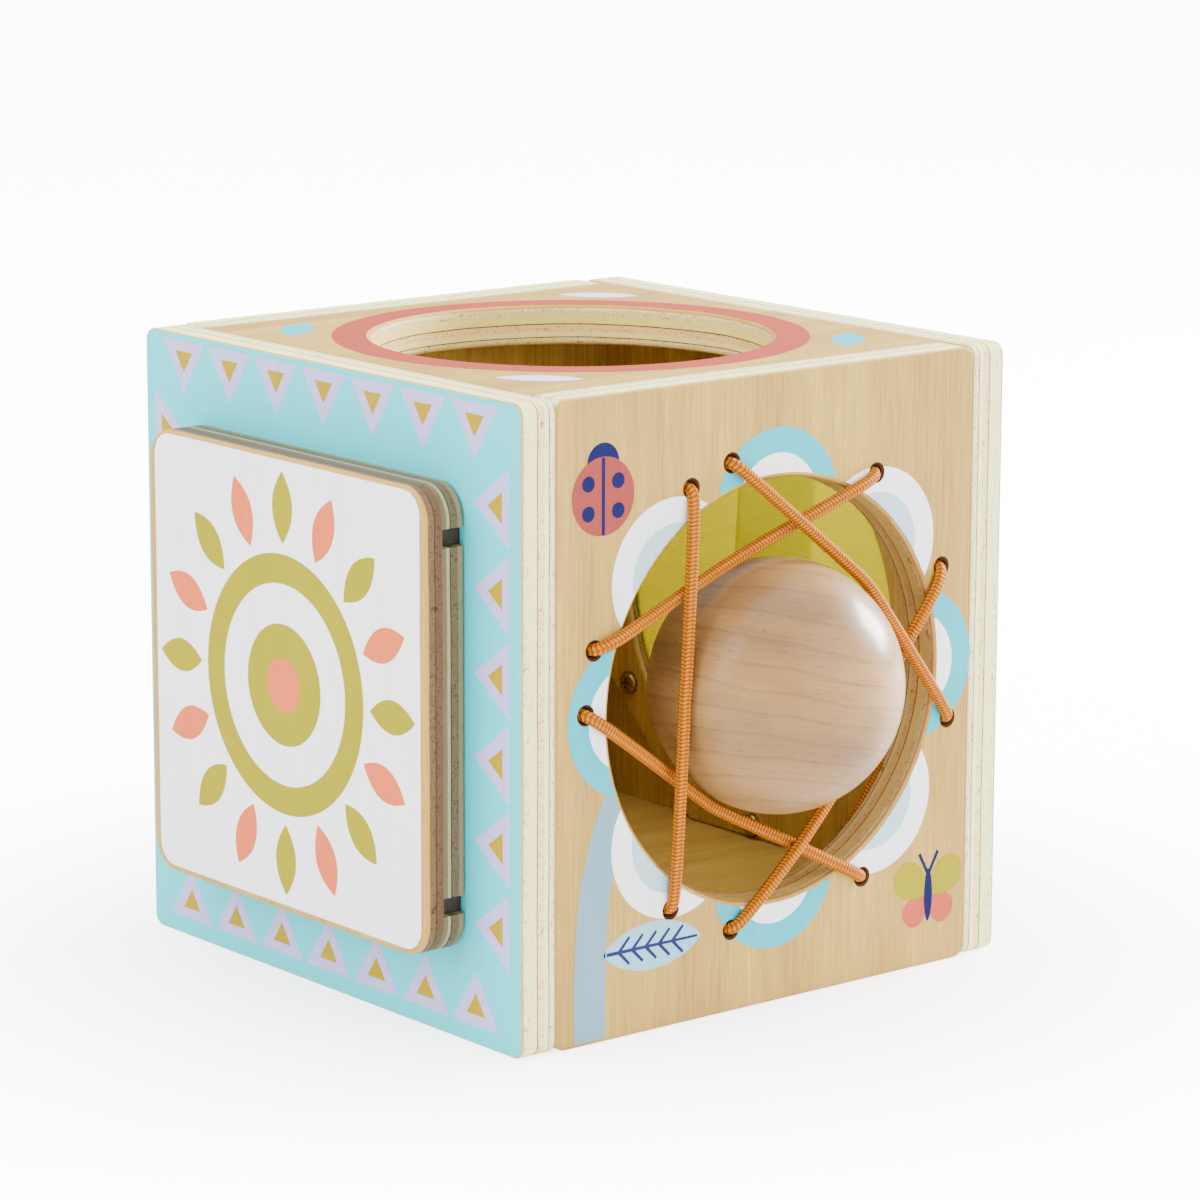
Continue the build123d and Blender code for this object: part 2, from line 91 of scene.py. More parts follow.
class Graph:
    """Node graph of one material, with short calls for the nodes that the finishes share."""

    def __init__(self, name: str) -> None:
        """Start a material with its Principled shader.

        Args:
            name: the material's name.
        """
        self.material = bpy.data.materials.new(name)
        self.material.use_nodes = True
        self.nodes = self.material.node_tree.nodes
        self.links = self.material.node_tree.links
        self.shader = self.nodes["Principled BSDF"]

    def feed(self, socket: bpy.types.NodeSocket, value: object) -> None:
        """Link a node's output to a socket, or set a plain value on it."""
        if isinstance(value, bpy.types.NodeSocket):
            self.links.new(value, socket)
        else:
            socket.default_value = value

    def math(self, operation: str, first: object, second: object = 0.0) -> bpy.types.NodeSocket:
        """Combine two numbers.

        Args:
            operation: the Math node's operation.
            first: number or output.
            second: number or output.

        Returns:
            The result's output.
        """
        node = self.nodes.new("ShaderNodeMath")
        node.operation = operation
        self.feed(node.inputs[0], first)
        self.feed(node.inputs[1], second)
        return node.outputs[0]

    def times(self, first: object, second: object) -> bpy.types.NodeSocket:
        """Multiply two values."""
        return self.math("MULTIPLY", first, second)

    def plus(self, first: object, second: object) -> bpy.types.NodeSocket:
        """Add two values."""
        return self.math("ADD", first, second)

    def minus(self, first: object, second: object) -> bpy.types.NodeSocket:
        """Subtract the second value from the first."""
        return self.math("SUBTRACT", first, second)

    def vector(self, operation: str, first: object, second: object = None) -> bpy.types.Node:
        """Work on vectors and give the node; the second vector is a plain one."""
        node = self.nodes.new("ShaderNodeVectorMath")
        node.operation = operation
        self.feed(node.inputs[0], first)
        if second is not None:
            node.inputs[1].default_value = second
        return node

    def tinted(self, colour: object, tint: Colour) -> bpy.types.NodeSocket:
        """Multiply a colour by a display colour."""
        return self.mix(1.0, colour, linear(tint), "MULTIPLY")

    def coords(self, output: str = "Object") -> bpy.types.NodeSocket:
        """Give one of the Texture Coordinate outputs."""
        return self.nodes.new("ShaderNodeTexCoord").outputs[output]

    def mapped(
        self, vector: object, scale: Sequence[float], turn: Sequence[float] = (0, 0, 0)
    ) -> bpy.types.NodeSocket:
        """Turn and scale a vector.

        Args:
            vector: the vector's output.
            scale: factor along each axis.
            turn: rotation about each axis in degrees.

        Returns:
            The mapped vector's output.
        """
        node = self.nodes.new("ShaderNodeMapping")
        node.inputs["Scale"].default_value = scale
        node.inputs["Rotation"].default_value = [math.radians(angle) for angle in turn]
        self.feed(node.inputs["Vector"], vector)
        return node.outputs[0]

    def split(self, vector: object) -> tuple[bpy.types.NodeSocket, ...]:
        """Give the three components of a vector."""
        node = self.nodes.new("ShaderNodeSeparateXYZ")
        self.feed(node.inputs[0], vector)
        return tuple(node.outputs)

    def noise(
        self, vector: object, scale: float = 1.0, detail: float = 2.0, distortion: float = 0.0
    ) -> bpy.types.NodeSocket:
        """Give a noise value of about 0 to 1.

        Args:
            vector: where the noise is read.
            scale: how fine it is.
            detail: number of finer layers.
            distortion: how much it swirls.

        Returns:
            The noise's output.
        """
        node = self.nodes.new("ShaderNodeTexNoise")
        self.feed(node.inputs["Vector"], vector)
        node.inputs["Scale"].default_value = scale
        node.inputs["Detail"].default_value = detail
        node.inputs["Distortion"].default_value = distortion
        return node.outputs["Fac"]

    def band(self, value: object, low: float, high: float) -> bpy.types.NodeSocket:
        """Rise smoothly from 0 at the low value to 1 at the high one."""
        node = self.nodes.new("ShaderNodeMapRange")
        node.interpolation_type = "SMOOTHSTEP"
        self.feed(node.inputs["Value"], value)
        node.inputs["From Min"].default_value = low
        node.inputs["From Max"].default_value = high
        return node.outputs[0]

    def mix(self, factor: object, first: object, second: object, kind: str = "MIX") -> bpy.types.NodeSocket:
        """Mix two colours.

        Args:
            factor: share of the second.
            first: colour or output.
            second: colour or output.
            kind: the Mix node's blend type.

        Returns:
            The mixed colour's output.
        """
        node = self.nodes.new("ShaderNodeMix")
        node.data_type = "RGBA"
        node.blend_type = kind
        self.feed(node.inputs["Factor"], factor)
        self.feed(node.inputs["A"], first)
        self.feed(node.inputs["B"], second)
        return node.outputs["Result"]

    def ramp(
        self, value: object, stops: Sequence[tuple[float, Colour]], kind: str = "LINEAR"
    ) -> bpy.types.NodeSocket:
        """Colour a value.

        Args:
            value: number that is coloured.
            stops: place and display colour of each stop, in order.
            kind: the ramp's interpolation.

        Returns:
            The colour's output.
        """
        node = self.nodes.new("ShaderNodeValToRGB")
        bar = node.color_ramp
        bar.interpolation = kind
        bar.elements[0].position = stops[0][0]
        bar.elements[0].color = linear(stops[0][1])
        bar.elements[1].position = stops[-1][0]
        bar.elements[1].color = linear(stops[-1][1])
        for place, colour in stops[1:-1]:
            bar.elements.new(place).color = linear(colour)
        self.feed(node.inputs["Fac"], value)
        return node.outputs["Color"]

    def bump(self, height: object, depth: float, strength: float = 1.0) -> None:
        """Roughen the shader's surface by a height of 0 to 1.

        Args:
            height: the height's output.
            depth: depth of a full height, in metres.
            strength: share of it that shows.
        """
        node = self.nodes.new("ShaderNodeBump")
        node.inputs["Strength"].default_value = strength
        node.inputs["Distance"].default_value = depth
        self.feed(node.inputs["Height"], height)
        self.feed(self.shader.inputs["Normal"], node.outputs[0])

    def surface(self, colour: object, roughness: object, **values: object) -> bpy.types.Material:
        """Set the shader and give the material.

        Args:
            colour: base colour or its output.
            roughness: roughness or its output.
            values: other shader inputs, by name with _ for a space.

        Returns:
            The finished material.
        """
        self.feed(self.shader.inputs["Base Color"], colour)
        self.feed(self.shader.inputs["Roughness"], roughness)
        for name, value in values.items():
            title = name.replace("_", " ").title().replace("Ior", "IOR")
            self.shader.inputs[title].default_value = value
        return self.material


class Axis(Enum):
    """Axes of the frame, by the number of their component."""

    X = 0
    Y = 1
    Z = 2

    def scale(self, across: float, along: float) -> list[float]:
        """Give a scale with one value along this axis and another across it."""
        values = [across] * len(Axis)
        values[self.value] = along
        return values


@dataclass(frozen=True)
class Ply:
    """One layer of a plywood edge: its thickness in mm, colour, and whether its end grain shows."""

    thickness: float
    colour: Colour
    end_grain: bool = False


WALL_PLIES = (
    Ply(0.8, (200, 168, 90)),
    Ply(1.6, (246, 245, 200), True),
    Ply(2.2, (246, 244, 160)),
    Ply(0.3, (118, 96, 62), True),
    Ply(1.8, (246, 225, 172), True),
    Ply(1.2, (247, 246, 176)),
    Ply(0.3, (118, 96, 62), True),
    Ply(1.4, (236, 228, 184), True),
    Ply(0.4, (226, 196, 130)),
)
DOOR_PLIES = (
    Ply(2.0, (200, 152, 70)),
    Ply(1.7, (118, 90, 58), True),
    Ply(0.3, (74, 50, 32), True),
    Ply(1.9, (108, 78, 50), True),
    Ply(1.2, (116, 98, 68)),
    Ply(0.9, (166, 150, 108)),
    Ply(0.3, (66, 50, 36), True),
    Ply(2.0, (108, 90, 62), True),
    Ply(1.7, (134, 116, 82)),
)
FRAME_PLIES = (
    Ply(1.0, (196, 166, 88)),
    Ply(1.0, (150, 122, 70), True),
    Ply(1.0, (200, 170, 92)),
)


@dataclass(frozen=True)
class PlywoodFinish:
    """Plywood with veneer faces and a layered edge, paint on one face if it has any, and a darkened wall
    round its hole where it has a bore, a painted shade.
    """

    name: str
    across: Axis
    outer: float
    inner: float
    plies: tuple[Ply, ...] = WALL_PLIES
    grain: Axis = Axis.Z
    paint: Optional[Colour] = None
    bore: Optional[tuple[float, float, float]] = None
    bore_shade_tint: Colour = (168, 140, 104)
    bore_reach: float = 0.055

    def material(self) -> bpy.types.Material:
        """Build the finish.

        Returns:
            A material that reads depth from the painted or outer face.
        """
        graph = Graph(self.name)
        place = graph.coords()
        depth = self._depth(graph, place)
        facing = graph.math("ABSOLUTE", graph.split(graph.coords("Normal"))[self.across.value])
        on_face = graph.band(facing, 0.62, 0.9)
        veneer, fine = self._veneer(graph, place)
        edge, rough = self._edge(graph, place, depth)
        if self.paint:
            grained = graph.mix(graph.times(fine, 0.1), linear(self.paint), veneer)
            outer_side = graph.math("LESS_THAN", depth, 0.5)
            veneer = graph.mix(outer_side, veneer, grained)
        # the round hole's wall takes the bore shade tint: painted shade inside the hole
        if self.bore:
            inside = graph.tinted(edge, self.bore_shade_tint)
            edge = graph.mix(self._outside_bore(graph, place), inside, edge)
        colour = graph.mix(on_face, edge, veneer)
        height = graph.plus(graph.times(fine, on_face), rough)
        graph.bump(height, 0.00012, 0.55)
        roughness = graph.plus(graph.times(fine, 0.14), 0.44)
        return graph.surface(colour, roughness, specular_ior_level=0.2)

    def _depth(self, graph: Graph, place: bpy.types.NodeSocket) -> bpy.types.NodeSocket:
        """Give the depth below the outer face as a share of the thickness, a little wavy."""
        along = graph.split(place)[self.across.value]
        share = graph.math("DIVIDE", graph.minus(along, self.outer), self.inner - self.outer)
        wave = graph.times(graph.minus(graph.noise(place, 45.0), 0.5), 0.05)
        return graph.plus(share, wave)

    def _outside_bore(self, graph: Graph, place: bpy.types.NodeSocket) -> bpy.types.NodeSocket:
        """Give 0 near the axis of the round hole and 1 further out."""
        flat = self.across.scale(1.0, 0.0)
        axis_place = [part * keep for part, keep in zip(self.bore, flat)]
        node = graph.vector("DISTANCE", graph.mapped(place, flat), axis_place)
        return graph.band(node.outputs["Value"], self.bore_reach, self.bore_reach + 0.001)

    def _veneer(
        self, graph: Graph, place: bpy.types.NodeSocket
    ) -> tuple[bpy.types.NodeSocket, bpy.types.NodeSocket]:
        """Give the veneer's colour, and its fine grain as a height."""
        fine_scale = self.grain.scale(1500.0, 55.0)
        broad_scale = self.grain.scale(75.0, 7.0)
        fleck_scale = self.grain.scale(900.0, 230.0)
        fine = graph.noise(graph.mapped(place, fine_scale), detail=3.0)
        broad = graph.noise(graph.mapped(place, broad_scale), detail=3.0, distortion=0.6)
        fleck = graph.noise(graph.mapped(place, fleck_scale), detail=1.0)
        mixed = graph.plus(graph.times(fine, 0.45), graph.times(broad, 0.55))
        tone = graph.ramp(
            mixed,
            ((0.3, (150, 116, 54)), (0.46, (174, 139, 65)), (0.58, (186, 152, 72)), (0.72, (206, 172, 84))),
        )
        flecks = graph.times(graph.band(fleck, 0.66, 0.78), 0.35)
        return graph.mix(flecks, tone, linear((136, 108, 60))), fine

    def _edge(
        self, graph: Graph, place: bpy.types.NodeSocket, depth: bpy.types.NodeSocket
    ) -> tuple[bpy.types.NodeSocket, bpy.types.NodeSocket]:
        """Give the layered edge's colour, and its roughness as a height."""
        total = sum(ply.thickness for ply in self.plies)
        stops, marks, reached = [], [], 0.0
        for ply in self.plies:
            stops.append((reached / total, ply.colour))
            marks.append((reached / total, (255, 255, 255) if ply.end_grain else (0, 0, 0)))
            reached += ply.thickness
        layers = graph.ramp(depth, stops, "CONSTANT")
        end_grain = graph.ramp(depth, marks, "CONSTANT")
        streak_scale = self.across.scale(240.0, 2600.0)
        streaks = graph.noise(graph.mapped(place, streak_scale), detail=3.0)
        pores = graph.noise(graph.mapped(place, (1900.0, 1900.0, 1900.0)), detail=2.0)
        streaked = graph.mix(
            graph.band(streaks, 0.5, 0.85), layers, graph.tinted(layers, (226, 208, 178))
        )
        open_pores = graph.times(graph.band(pores, 0.52, 0.7), end_grain)
        colour = graph.mix(
            graph.times(open_pores, 0.75),
            streaked,
            graph.tinted(layers, (176, 144, 104)),
        )
        gaps = graph.noise(graph.mapped(place, (260.0, 260.0, 260.0)), detail=2.0, distortion=0.4)
        torn = graph.times(graph.band(gaps, 0.66, 0.72), graph.times(end_grain, 0.6))
        colour = graph.mix(torn, colour, graph.tinted(layers, (120, 78, 50)))
        height = graph.minus(graph.times(streaks, 0.5), open_pores)
        return colour, height


@dataclass(frozen=True)
class PlainWoodFinish:
    """Solid light hardwood for dowels and runners, with its grain along one axis."""

    name: str
    grain: Axis
    tone: Colour = (184, 148, 76)

    def material(self) -> bpy.types.Material:
        """Build the finish."""
        graph = Graph(self.name)
        scale = self.grain.scale(900.0, 40.0)
        grain = graph.noise(graph.mapped(graph.coords(), scale), detail=4.0, distortion=0.4)
        darker = shade(self.tone, 0.84)
        lighter = shade(self.tone, 1.12)
        colour = graph.ramp(grain, ((0.3, darker), (0.55, self.tone), (0.75, lighter)))
        graph.bump(grain, 0.0001, 0.5)
        return graph.surface(colour, graph.plus(graph.times(grain, 0.2), 0.42))


@dataclass(frozen=True)
class BallWoodFinish:
    """Turned and varnished ball: growth layers that slant down to the right across its front."""

    name: str
    centre: Vector

    def material(self) -> bpy.types.Material:
        """Build the finish."""
        graph = Graph(self.name)
        node = graph.vector("SUBTRACT", graph.coords(), self.centre)
        place = graph.mapped(node.outputs[0], (1.0, 1.0, 1.0), (4.0, -14.0, 20.0))
        warp = graph.noise(graph.mapped(place, (16.0, 16.0, 30.0)), detail=2.0)
        level = graph.times(graph.split(place)[2], 190.0)
        rings = graph.plus(level, graph.times(warp, 2.0))
        layer = graph.math("FRACT", rings)
        fibres = graph.noise(graph.mapped(place, (45.0, 60.0, 2400.0)), detail=3.0)
        pores = graph.noise(graph.mapped(place, (260.0, 400.0, 2600.0)), detail=2.0)
        base = graph.ramp(
            graph.noise(graph.mapped(place, (18.0, 24.0, 70.0)), detail=2.0),
            ((0.32, (128, 94, 56)), (0.5, (148, 111, 66)), (0.68, (168, 128, 77))),
        )
        late_wood = graph.times(graph.band(layer, 0.76, 0.98), 0.24)
        lined = graph.mix(late_wood, base, linear((78, 54, 32)))
        fibre_share = graph.times(graph.band(fibres, 0.46, 0.72), 0.22)
        streaked = graph.mix(fibre_share, lined, linear((88, 62, 38)))
        pore_share = graph.times(graph.band(pores, 0.6, 0.72), 0.35)
        colour = graph.mix(pore_share, streaked, linear((70, 46, 28)))
        graph.bump(fibres, 0.00006, 0.25)
        return graph.surface(
            colour, 0.5, specular_ior_level=0.15, coat_weight=0.38, coat_roughness=0.22, coat_ior=1.5
        )


@dataclass(frozen=True)
class PrintFinish:
    """Screen-printed ink, thin enough for the wood's grain to show through a little."""

    name: str
    colour: Colour
    grain: Axis = Axis.Z
    roughness: float = 0.62

    def material(self) -> bpy.types.Material:
        """Build the finish."""
        graph = Graph(self.name)
        scale = self.grain.scale(1300.0, 50.0)
        grain = graph.noise(graph.mapped(graph.coords(), scale), detail=3.0)
        cloud = graph.noise(graph.coords(), 60.0, 2.0)
        darker = shade(self.colour, 0.96)
        share = graph.plus(graph.times(grain, 0.7), graph.times(cloud, 0.3))
        colour = graph.mix(graph.band(share, 0.42, 0.72), linear(self.colour), linear(darker))
        graph.bump(grain, 0.00006, 0.3)
        rough = graph.plus(graph.times(grain, 0.12), self.roughness - 0.06)
        return graph.surface(colour, rough, specular_ior_level=0.1)


@dataclass(frozen=True)
class ElasticFinish:
    """Braided elastic cord: V-shaped stitches that run round it, read from its own UV map, with painted
    shade in the stitch grooves and painted highlight on their crowns.
    """

    name: str
    stitches: float
    columns: float = 6.0

    def material(self) -> bpy.types.Material:
        """Build the finish."""
        graph = Graph(self.name)
        along, around, _ = graph.split(graph.coords("UV"))
        column = graph.math("FRACT", graph.times(around, self.columns / 2))
        fold = graph.math("ABSOLUTE", graph.minus(column, 0.5))
        turns = graph.plus(graph.times(along, self.stitches), graph.times(fold, 0.9))
        rib = graph.math("ABSOLUTE", graph.math("SINE", graph.times(turns, math.pi)))
        seam = graph.math("ABSOLUTE", graph.minus(graph.times(fold, 2.0), 0.5))
        crown = graph.minus(1.0, graph.times(seam, 1.2))
        height = graph.times(graph.math("POWER", rib, 0.6), crown)
        strands = graph.noise(graph.mapped(graph.coords(), (5200.0, 5200.0, 5200.0)), detail=1.0)
        # colour follows stitch height: painted shade in the grooves between stitches, painted highlight on
        # their crowns, with random strand tone
        colour = graph.ramp(
            graph.plus(height, graph.times(graph.minus(strands, 0.5), 0.35)),
            ((0.0, (90, 34, 3)), (0.3, (150, 80, 2)), (0.65, (182, 104, 3)), (1.0, (208, 134, 12))),
        )
        graph.bump(height, 0.0003, 1.0)
        return graph.surface(colour, 0.6, specular_ior_level=0.12)


@dataclass(frozen=True)
class CurtainFinish:
    """Thin ribbed fabric that lets some light through."""

    name: str
    colour: Colour
    rib_pitch: float = 0.0011

    def material(self) -> bpy.types.Material:
        """Build the finish."""
        graph = Graph(self.name)
        place = graph.coords()
        _, along, up = graph.split(place)
        drift = graph.noise(graph.mapped(place, (1.0, 14.0, 40.0)), detail=2.0)
        lines = graph.plus(graph.math("DIVIDE", up, self.rib_pitch), graph.times(drift, 1.2))
        rib = graph.math("ABSOLUTE", graph.math("SINE", graph.times(lines, math.pi)))
        yarn = graph.math("ABSOLUTE", graph.math("SINE", graph.times(along, 5200.0)))
        slub = graph.noise(graph.mapped(place, (1.0, 60.0, 2400.0)), detail=3.0)
        height = graph.plus(graph.times(rib, 0.25), graph.times(yarn, 0.15))
        height = graph.plus(height, graph.times(slub, 0.5))
        darker = shade(self.colour, 0.93)
        colour = graph.mix(graph.band(height, 0.35, 0.9), linear(darker), linear(self.colour))
        graph.bump(height, 0.00006, 0.5)
        return graph.surface(
            colour, 0.7, subsurface_weight=1.0, subsurface_scale=0.0009, subsurface_radius=(1.0, 1.0, 1.0),
            specular_ior_level=0.06
        )


@dataclass(frozen=True)
class ScrewFinish:
    """Yellow-zinc screw with fine wear."""

    name: str

    def material(self) -> bpy.types.Material:
        """Build the finish."""
        graph = Graph(self.name)
        wear = graph.noise(graph.mapped(graph.coords(), (1400.0, 1400.0, 1400.0)), detail=3.0)
        colour = graph.ramp(wear, ((0.3, (120, 92, 44)), (0.55, (160, 132, 72)), (0.75, (196, 176, 120))))
        graph.bump(wear, 0.00003, 0.4)
        rough = graph.plus(graph.times(wear, 0.25), 0.2)
        return graph.surface(colour, rough, metallic=1.0)


class Face(Enum):
    """Faces that carry prints: the node, and the axes that point right, up and out on it."""

    FRONT = ("front_panel", Vector((1, 0, 0)), Vector((0, 0, 1)))
    LEFT = ("left_panel", Vector((0, -1, 0)), Vector((0, 0, 1)))
    DOOR = ("sun_door", Vector((0, -1, 0)), Vector((0, 0, 1)))
    TOP = ("top_panel", Vector((1, 0, 0)), Vector((0, 1, 0)))

    def matrix(self) -> Matrix:
        """Give the transform from (right, up, out) in mm on this face to the frame in metres."""
        node, right, up = self.value
        out = right.cross(up)
        low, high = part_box(node)
        corner = high if sum(out) > 0 else low
        surface = Vector(tuple(abs(part) for part in out)) * corner
        columns = Matrix((right, up, out)).transposed().to_4x4()
        return Matrix.Translation(surface) @ columns @ Matrix.Scale(MM, 4)


def finished_object(
    name: str, bm: bmesh.types.BMesh, finish: bpy.types.Material, body: str, smooth: bool = False
) -> bpy.types.Object:
    """Turn a bmesh in metres into a piece that rides on a body.

    Args:
        name: the piece's name.
        bm: its mesh, which is freed.
        finish: its material.
        body: the CAD body that it moves with.
        smooth: whether its faces are shaded smooth.

    Returns:
        The piece.
    """
    mesh = bpy.data.meshes.new(name)
    for face in bm.faces:
        face.smooth = smooth
    bm.to_mesh(mesh)
    bm.free()
    mesh.materials.append(finish)
    piece = bpy.data.objects.new(name, mesh)
    bpy.context.scene.collection.objects.link(piece)
    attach(piece, body)
    LOG.info("%s: %d faces on %s", name, len(mesh.polygons), body)
    return piece


def cut_away(bm: bmesh.types.BMesh, cutter: bmesh.types.BMesh) -> bmesh.types.BMesh:
    """Cut one closed mesh out of another.

    Args:
        bm: the mesh that is cut, which is freed.
        cutter: the mesh that cuts, which stays.

    Returns:
        What is left.
    """
    objects = []
    for source in (bm, cutter):
        mesh = bpy.data.meshes.new("cutting")
        source.to_mesh(mesh)
        item = bpy.data.objects.new("cutting", mesh)
        bpy.context.scene.collection.objects.link(item)
        objects.append(item)
    bm.free()
    modifier = objects[0].modifiers.new("cut", "BOOLEAN")
    modifier.operation = "DIFFERENCE"
    modifier.solver = "EXACT"
    modifier.object = objects[1]
    depsgraph = bpy.context.evaluated_depsgraph_get()
    result = bpy.data.meshes.new_from_object(objects[0].evaluated_get(depsgraph))
    left = bmesh.new()
    left.from_mesh(result)
    for item in objects:
        mesh = item.data
        bpy.data.objects.remove(item)
        bpy.data.meshes.remove(mesh)
    bpy.data.meshes.remove(result)
    return left


def bezier(points: Sequence[Vector], share: float) -> Vector:
    """Give the place at a share of the way along a Bezier curve."""
    line = list(points)
    while len(line) > 1:
        line = [first.lerp(second, share) for first, second in zip(line, line[1:])]
    return line[0]


class Motif:
    """Flat printed shapes of one colour on one face, in mm, made into thin closed ink."""

    SINK = 0.3
    LAYER = 0.035
    RISE = 0.001

    def __init__(self, face: Face, layer: int) -> None:
        """Start an empty motif.

        Args:
            face: the face that it is printed on.
            layer: how many prints lie under it.
        """
        self.face = face
        self.lift = self.LAYER * (layer + 1)
        self.bm = bmesh.new()
        self.shapes = 0

    def _place(self, verts: Iterable[bmesh.types.BMVert], centre: Point, turn: float = 0.0) -> None:
        """Turn a new shape by degrees and move it to its centre, a hair above the last shape."""
        self.shapes += 1
        rise = self.RISE * self.shapes
        matrix = Matrix.Translation((*centre, rise)) @ Matrix.Rotation(math.radians(turn), 4, "Z")
        bmesh.ops.transform(self.bm, matrix=matrix, verts=list(verts))

    def disc(self, centre: Point, radius: float, height: Optional[float] = None, segments: int = 56) -> None:
        """Add a disc or an upright oval.

        Args:
            centre: its middle.
            radius: half its width.
            height: half its height, where that differs.
            segments: number of sides.
        """
        made = bmesh.ops.create_circle(self.bm, cap_ends=True, segments=segments, radius=radius)
        bmesh.ops.scale(self.bm, vec=(1.0, (height or radius) / radius, 1.0), verts=made["verts"])
        self._place(made["verts"], centre)

    def petal(
        self, middle: Point, length: float, width: float, turn: float, root: float = 1.0, tip: float = 1.0
    ) -> None:
        """Add a leaf shape along a direction.

        Args:
            middle: its middle.
            length: from root to tip.
            width: at its widest.
            turn: direction of its tip in degrees.
            root: how pointed the root is; 0.3 is blunt, 1 is pointed.
            tip: the same for the tip.
        """
        made = bmesh.ops.create_circle(self.bm, cap_ends=True, segments=48, radius=1.0)
        widest = (root - tip) / (root + tip)
        peak = (1 + widest) ** root * (1 - widest) ** tip
        for vert in made["verts"]:
            along = max(-1.0, min(1.0, vert.co.x))
            swell = (1 + along) ** root * (1 - along) ** tip / peak
            vert.co.y = math.copysign(swell * width / 2, vert.co.y)
            vert.co.x = along * length / 2
        bmesh.ops.remove_doubles(self.bm, verts=made["verts"], dist=0.01)
        self._place([vert for vert in made["verts"] if vert.is_valid], middle, turn)

    def outline(self, corners: Sequence[Point], rounding: float = 0.0) -> None:
        """Add a shape with straight sides.

        Args:
            corners: its corners in order.
            rounding: length that is taken off each corner.
        """
        verts = [self.bm.verts.new((*corner, 0.0)) for corner in corners]
        self.bm.faces.new(verts)
        if rounding:
            bmesh.ops.bevel(
                self.bm, geom=verts, offset=rounding, segments=4, profile=0.5, affect="VERTICES", material=-1
            )

    def stroke(self, points: Sequence[Point], start: float, end: Optional[float] = None) -> None:
        """Add a brush stroke along a Bezier curve.

        Args:
            points: the curve's control points.
            start: width at its start.
            end: width at its end, where that differs.
        """
        line = [Vector(point) for point in points]
        steps = 1 if len(points) == 2 else 20
        last = start if end is None else end
        made = bmesh.ops.create_grid(self.bm, x_segments=steps, y_segments=1, size=1.0)
        for vert in made["verts"]:
            share = (vert.co.x + 1) / 2
            ahead = bezier(line, min(1.0, share + 0.01)) - bezier(line, max(0.0, share - 0.01))
            side = Vector((-ahead.y, ahead.x)).normalized() * (start + (last - start) * share) / 2
            place = bezier(line, share) + side * vert.co.y
            vert.co = (place.x, place.y, 0.0)
        self._place(made["verts"], (0.0, 0.0))

    def ink(
        self, name: str, finish: bpy.types.Material, cutter: Optional[bmesh.types.BMesh] = None
    ) -> bpy.types.Object:
        """Give the motif its thickness, cut it and put it on its face.

        Args:
            name: the piece's name.
            finish: its material.
            cutter: closed mesh in the face's own mm, cut out of it.

        Returns:
            The printed piece.
        """
        bmesh.ops.translate(self.bm, vec=(0, 0, -self.SINK), verts=self.bm.verts)
        made = bmesh.ops.extrude_face_region(self.bm, geom=list(self.bm.faces))
        raised = [item for item in made["geom"] if isinstance(item, bmesh.types.BMVert)]
        bmesh.ops.translate(self.bm, vec=(0, 0, self.SINK + self.lift), verts=raised)
        bmesh.ops.recalc_face_normals(self.bm, faces=self.bm.faces)
        if cutter:
            self.bm = cut_away(self.bm, cutter)
        bmesh.ops.transform(self.bm, matrix=self.face.matrix(), verts=self.bm.verts)
        body = "door" if self.face is Face.DOOR else "cube"
        return finished_object(name, self.bm, finish, body)


def add_rod(bm: bmesh.types.BMesh, centre: Point, radius: float, segments: int) -> None:
    """Add a closed rod through a face, to cut prints with.

    Args:
        bm: mesh that it is added to.
        centre: its place on the face in mm.
        radius: in mm.
        segments: number of sides.
    """
    bmesh.ops.create_cone(
        bm, cap_ends=True, segments=segments, radius1=radius, radius2=radius, depth=8.0,
        matrix=Matrix.Translation((*centre, 0.0)),
    )


def around(centre: Point, reach: float, angle: float) -> Point:
    """Give the place at a distance and a direction in degrees from a centre."""
    turn = math.radians(angle)
    return centre[0] + reach * math.cos(turn), centre[1] + reach * math.sin(turn)


def paint(colour: Colour, name: str, grain: Axis = Axis.Z) -> bpy.types.Material:
    """Give a printed colour, made once."""
    found = bpy.data.materials.get(name)
    return found or PrintFinish(name, colour, grain).material()


def cover_node(node: str, material: bpy.types.Material) -> None:
    """Put a material on every slot of a CAD node.

    Args:
        node: the node's name.
        material: its finish.
    """
    slots = NODES[node].material_slots
    if not slots:
        NODES[node].data.materials.append(material)
    for slot in slots:
        slot.material = material
    LOG.info("%s: %s", node, material.name)


@dataclass
class Carcass:
    """The six plywood panels and their dowels, which keep their meshes."""

    wall_t: float = 0.010

    def dress(self) -> None:
        """Give every panel and dowel group its finish."""
        left_low, left_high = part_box("left_panel")
        right_low, right_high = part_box("right_panel")
        front_low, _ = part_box("front_panel")
        _, back_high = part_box("back_panel")
        top_low, top_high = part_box("top_panel")
        bottom_low, bottom_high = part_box("bottom_panel")
        finishes = {
            "left_panel": PlywoodFinish("turquoise_wall", Axis.X, left_low.x, left_high.x, paint=TURQUOISE),
            "right_panel": PlywoodFinish("right_wall", Axis.X, right_high.x, right_low.x),
            # the front hole's wall is darkened strongly with painted shade; the top hole's wall is darkened
            # a little
            "front_panel": PlywoodFinish(
                "front_wall", Axis.Y, front_low.y, front_low.y + self.wall_t, bore=(0.00185, 0.0, 0.0752),
                bore_shade_tint=(190, 162, 132),
            ),
            "back_panel": PlywoodFinish("back_wall", Axis.Y, back_high.y, back_high.y - self.wall_t),
            "top_panel": PlywoodFinish(
                "top_board", Axis.Z, top_high.z, top_low.z, grain=Axis.X, bore=(0.0, 0.0, 0.0),
                bore_shade_tint=(226, 206, 168),
            ),
            "bottom_panel": PlywoodFinish("bottom_board", Axis.Z, bottom_low.z, bottom_high.z, grain=Axis.X),
        }
        for node, finish in finishes.items():
            cover_node(node, finish.material())
        dowel_wood = PlainWoodFinish("dowel_beech", Axis.X).material()
        for node in ("front_wall_dowels", "back_wall_dowels", "top_dowels", "bottom_dowels"):
            cover_node(node, dowel_wood)


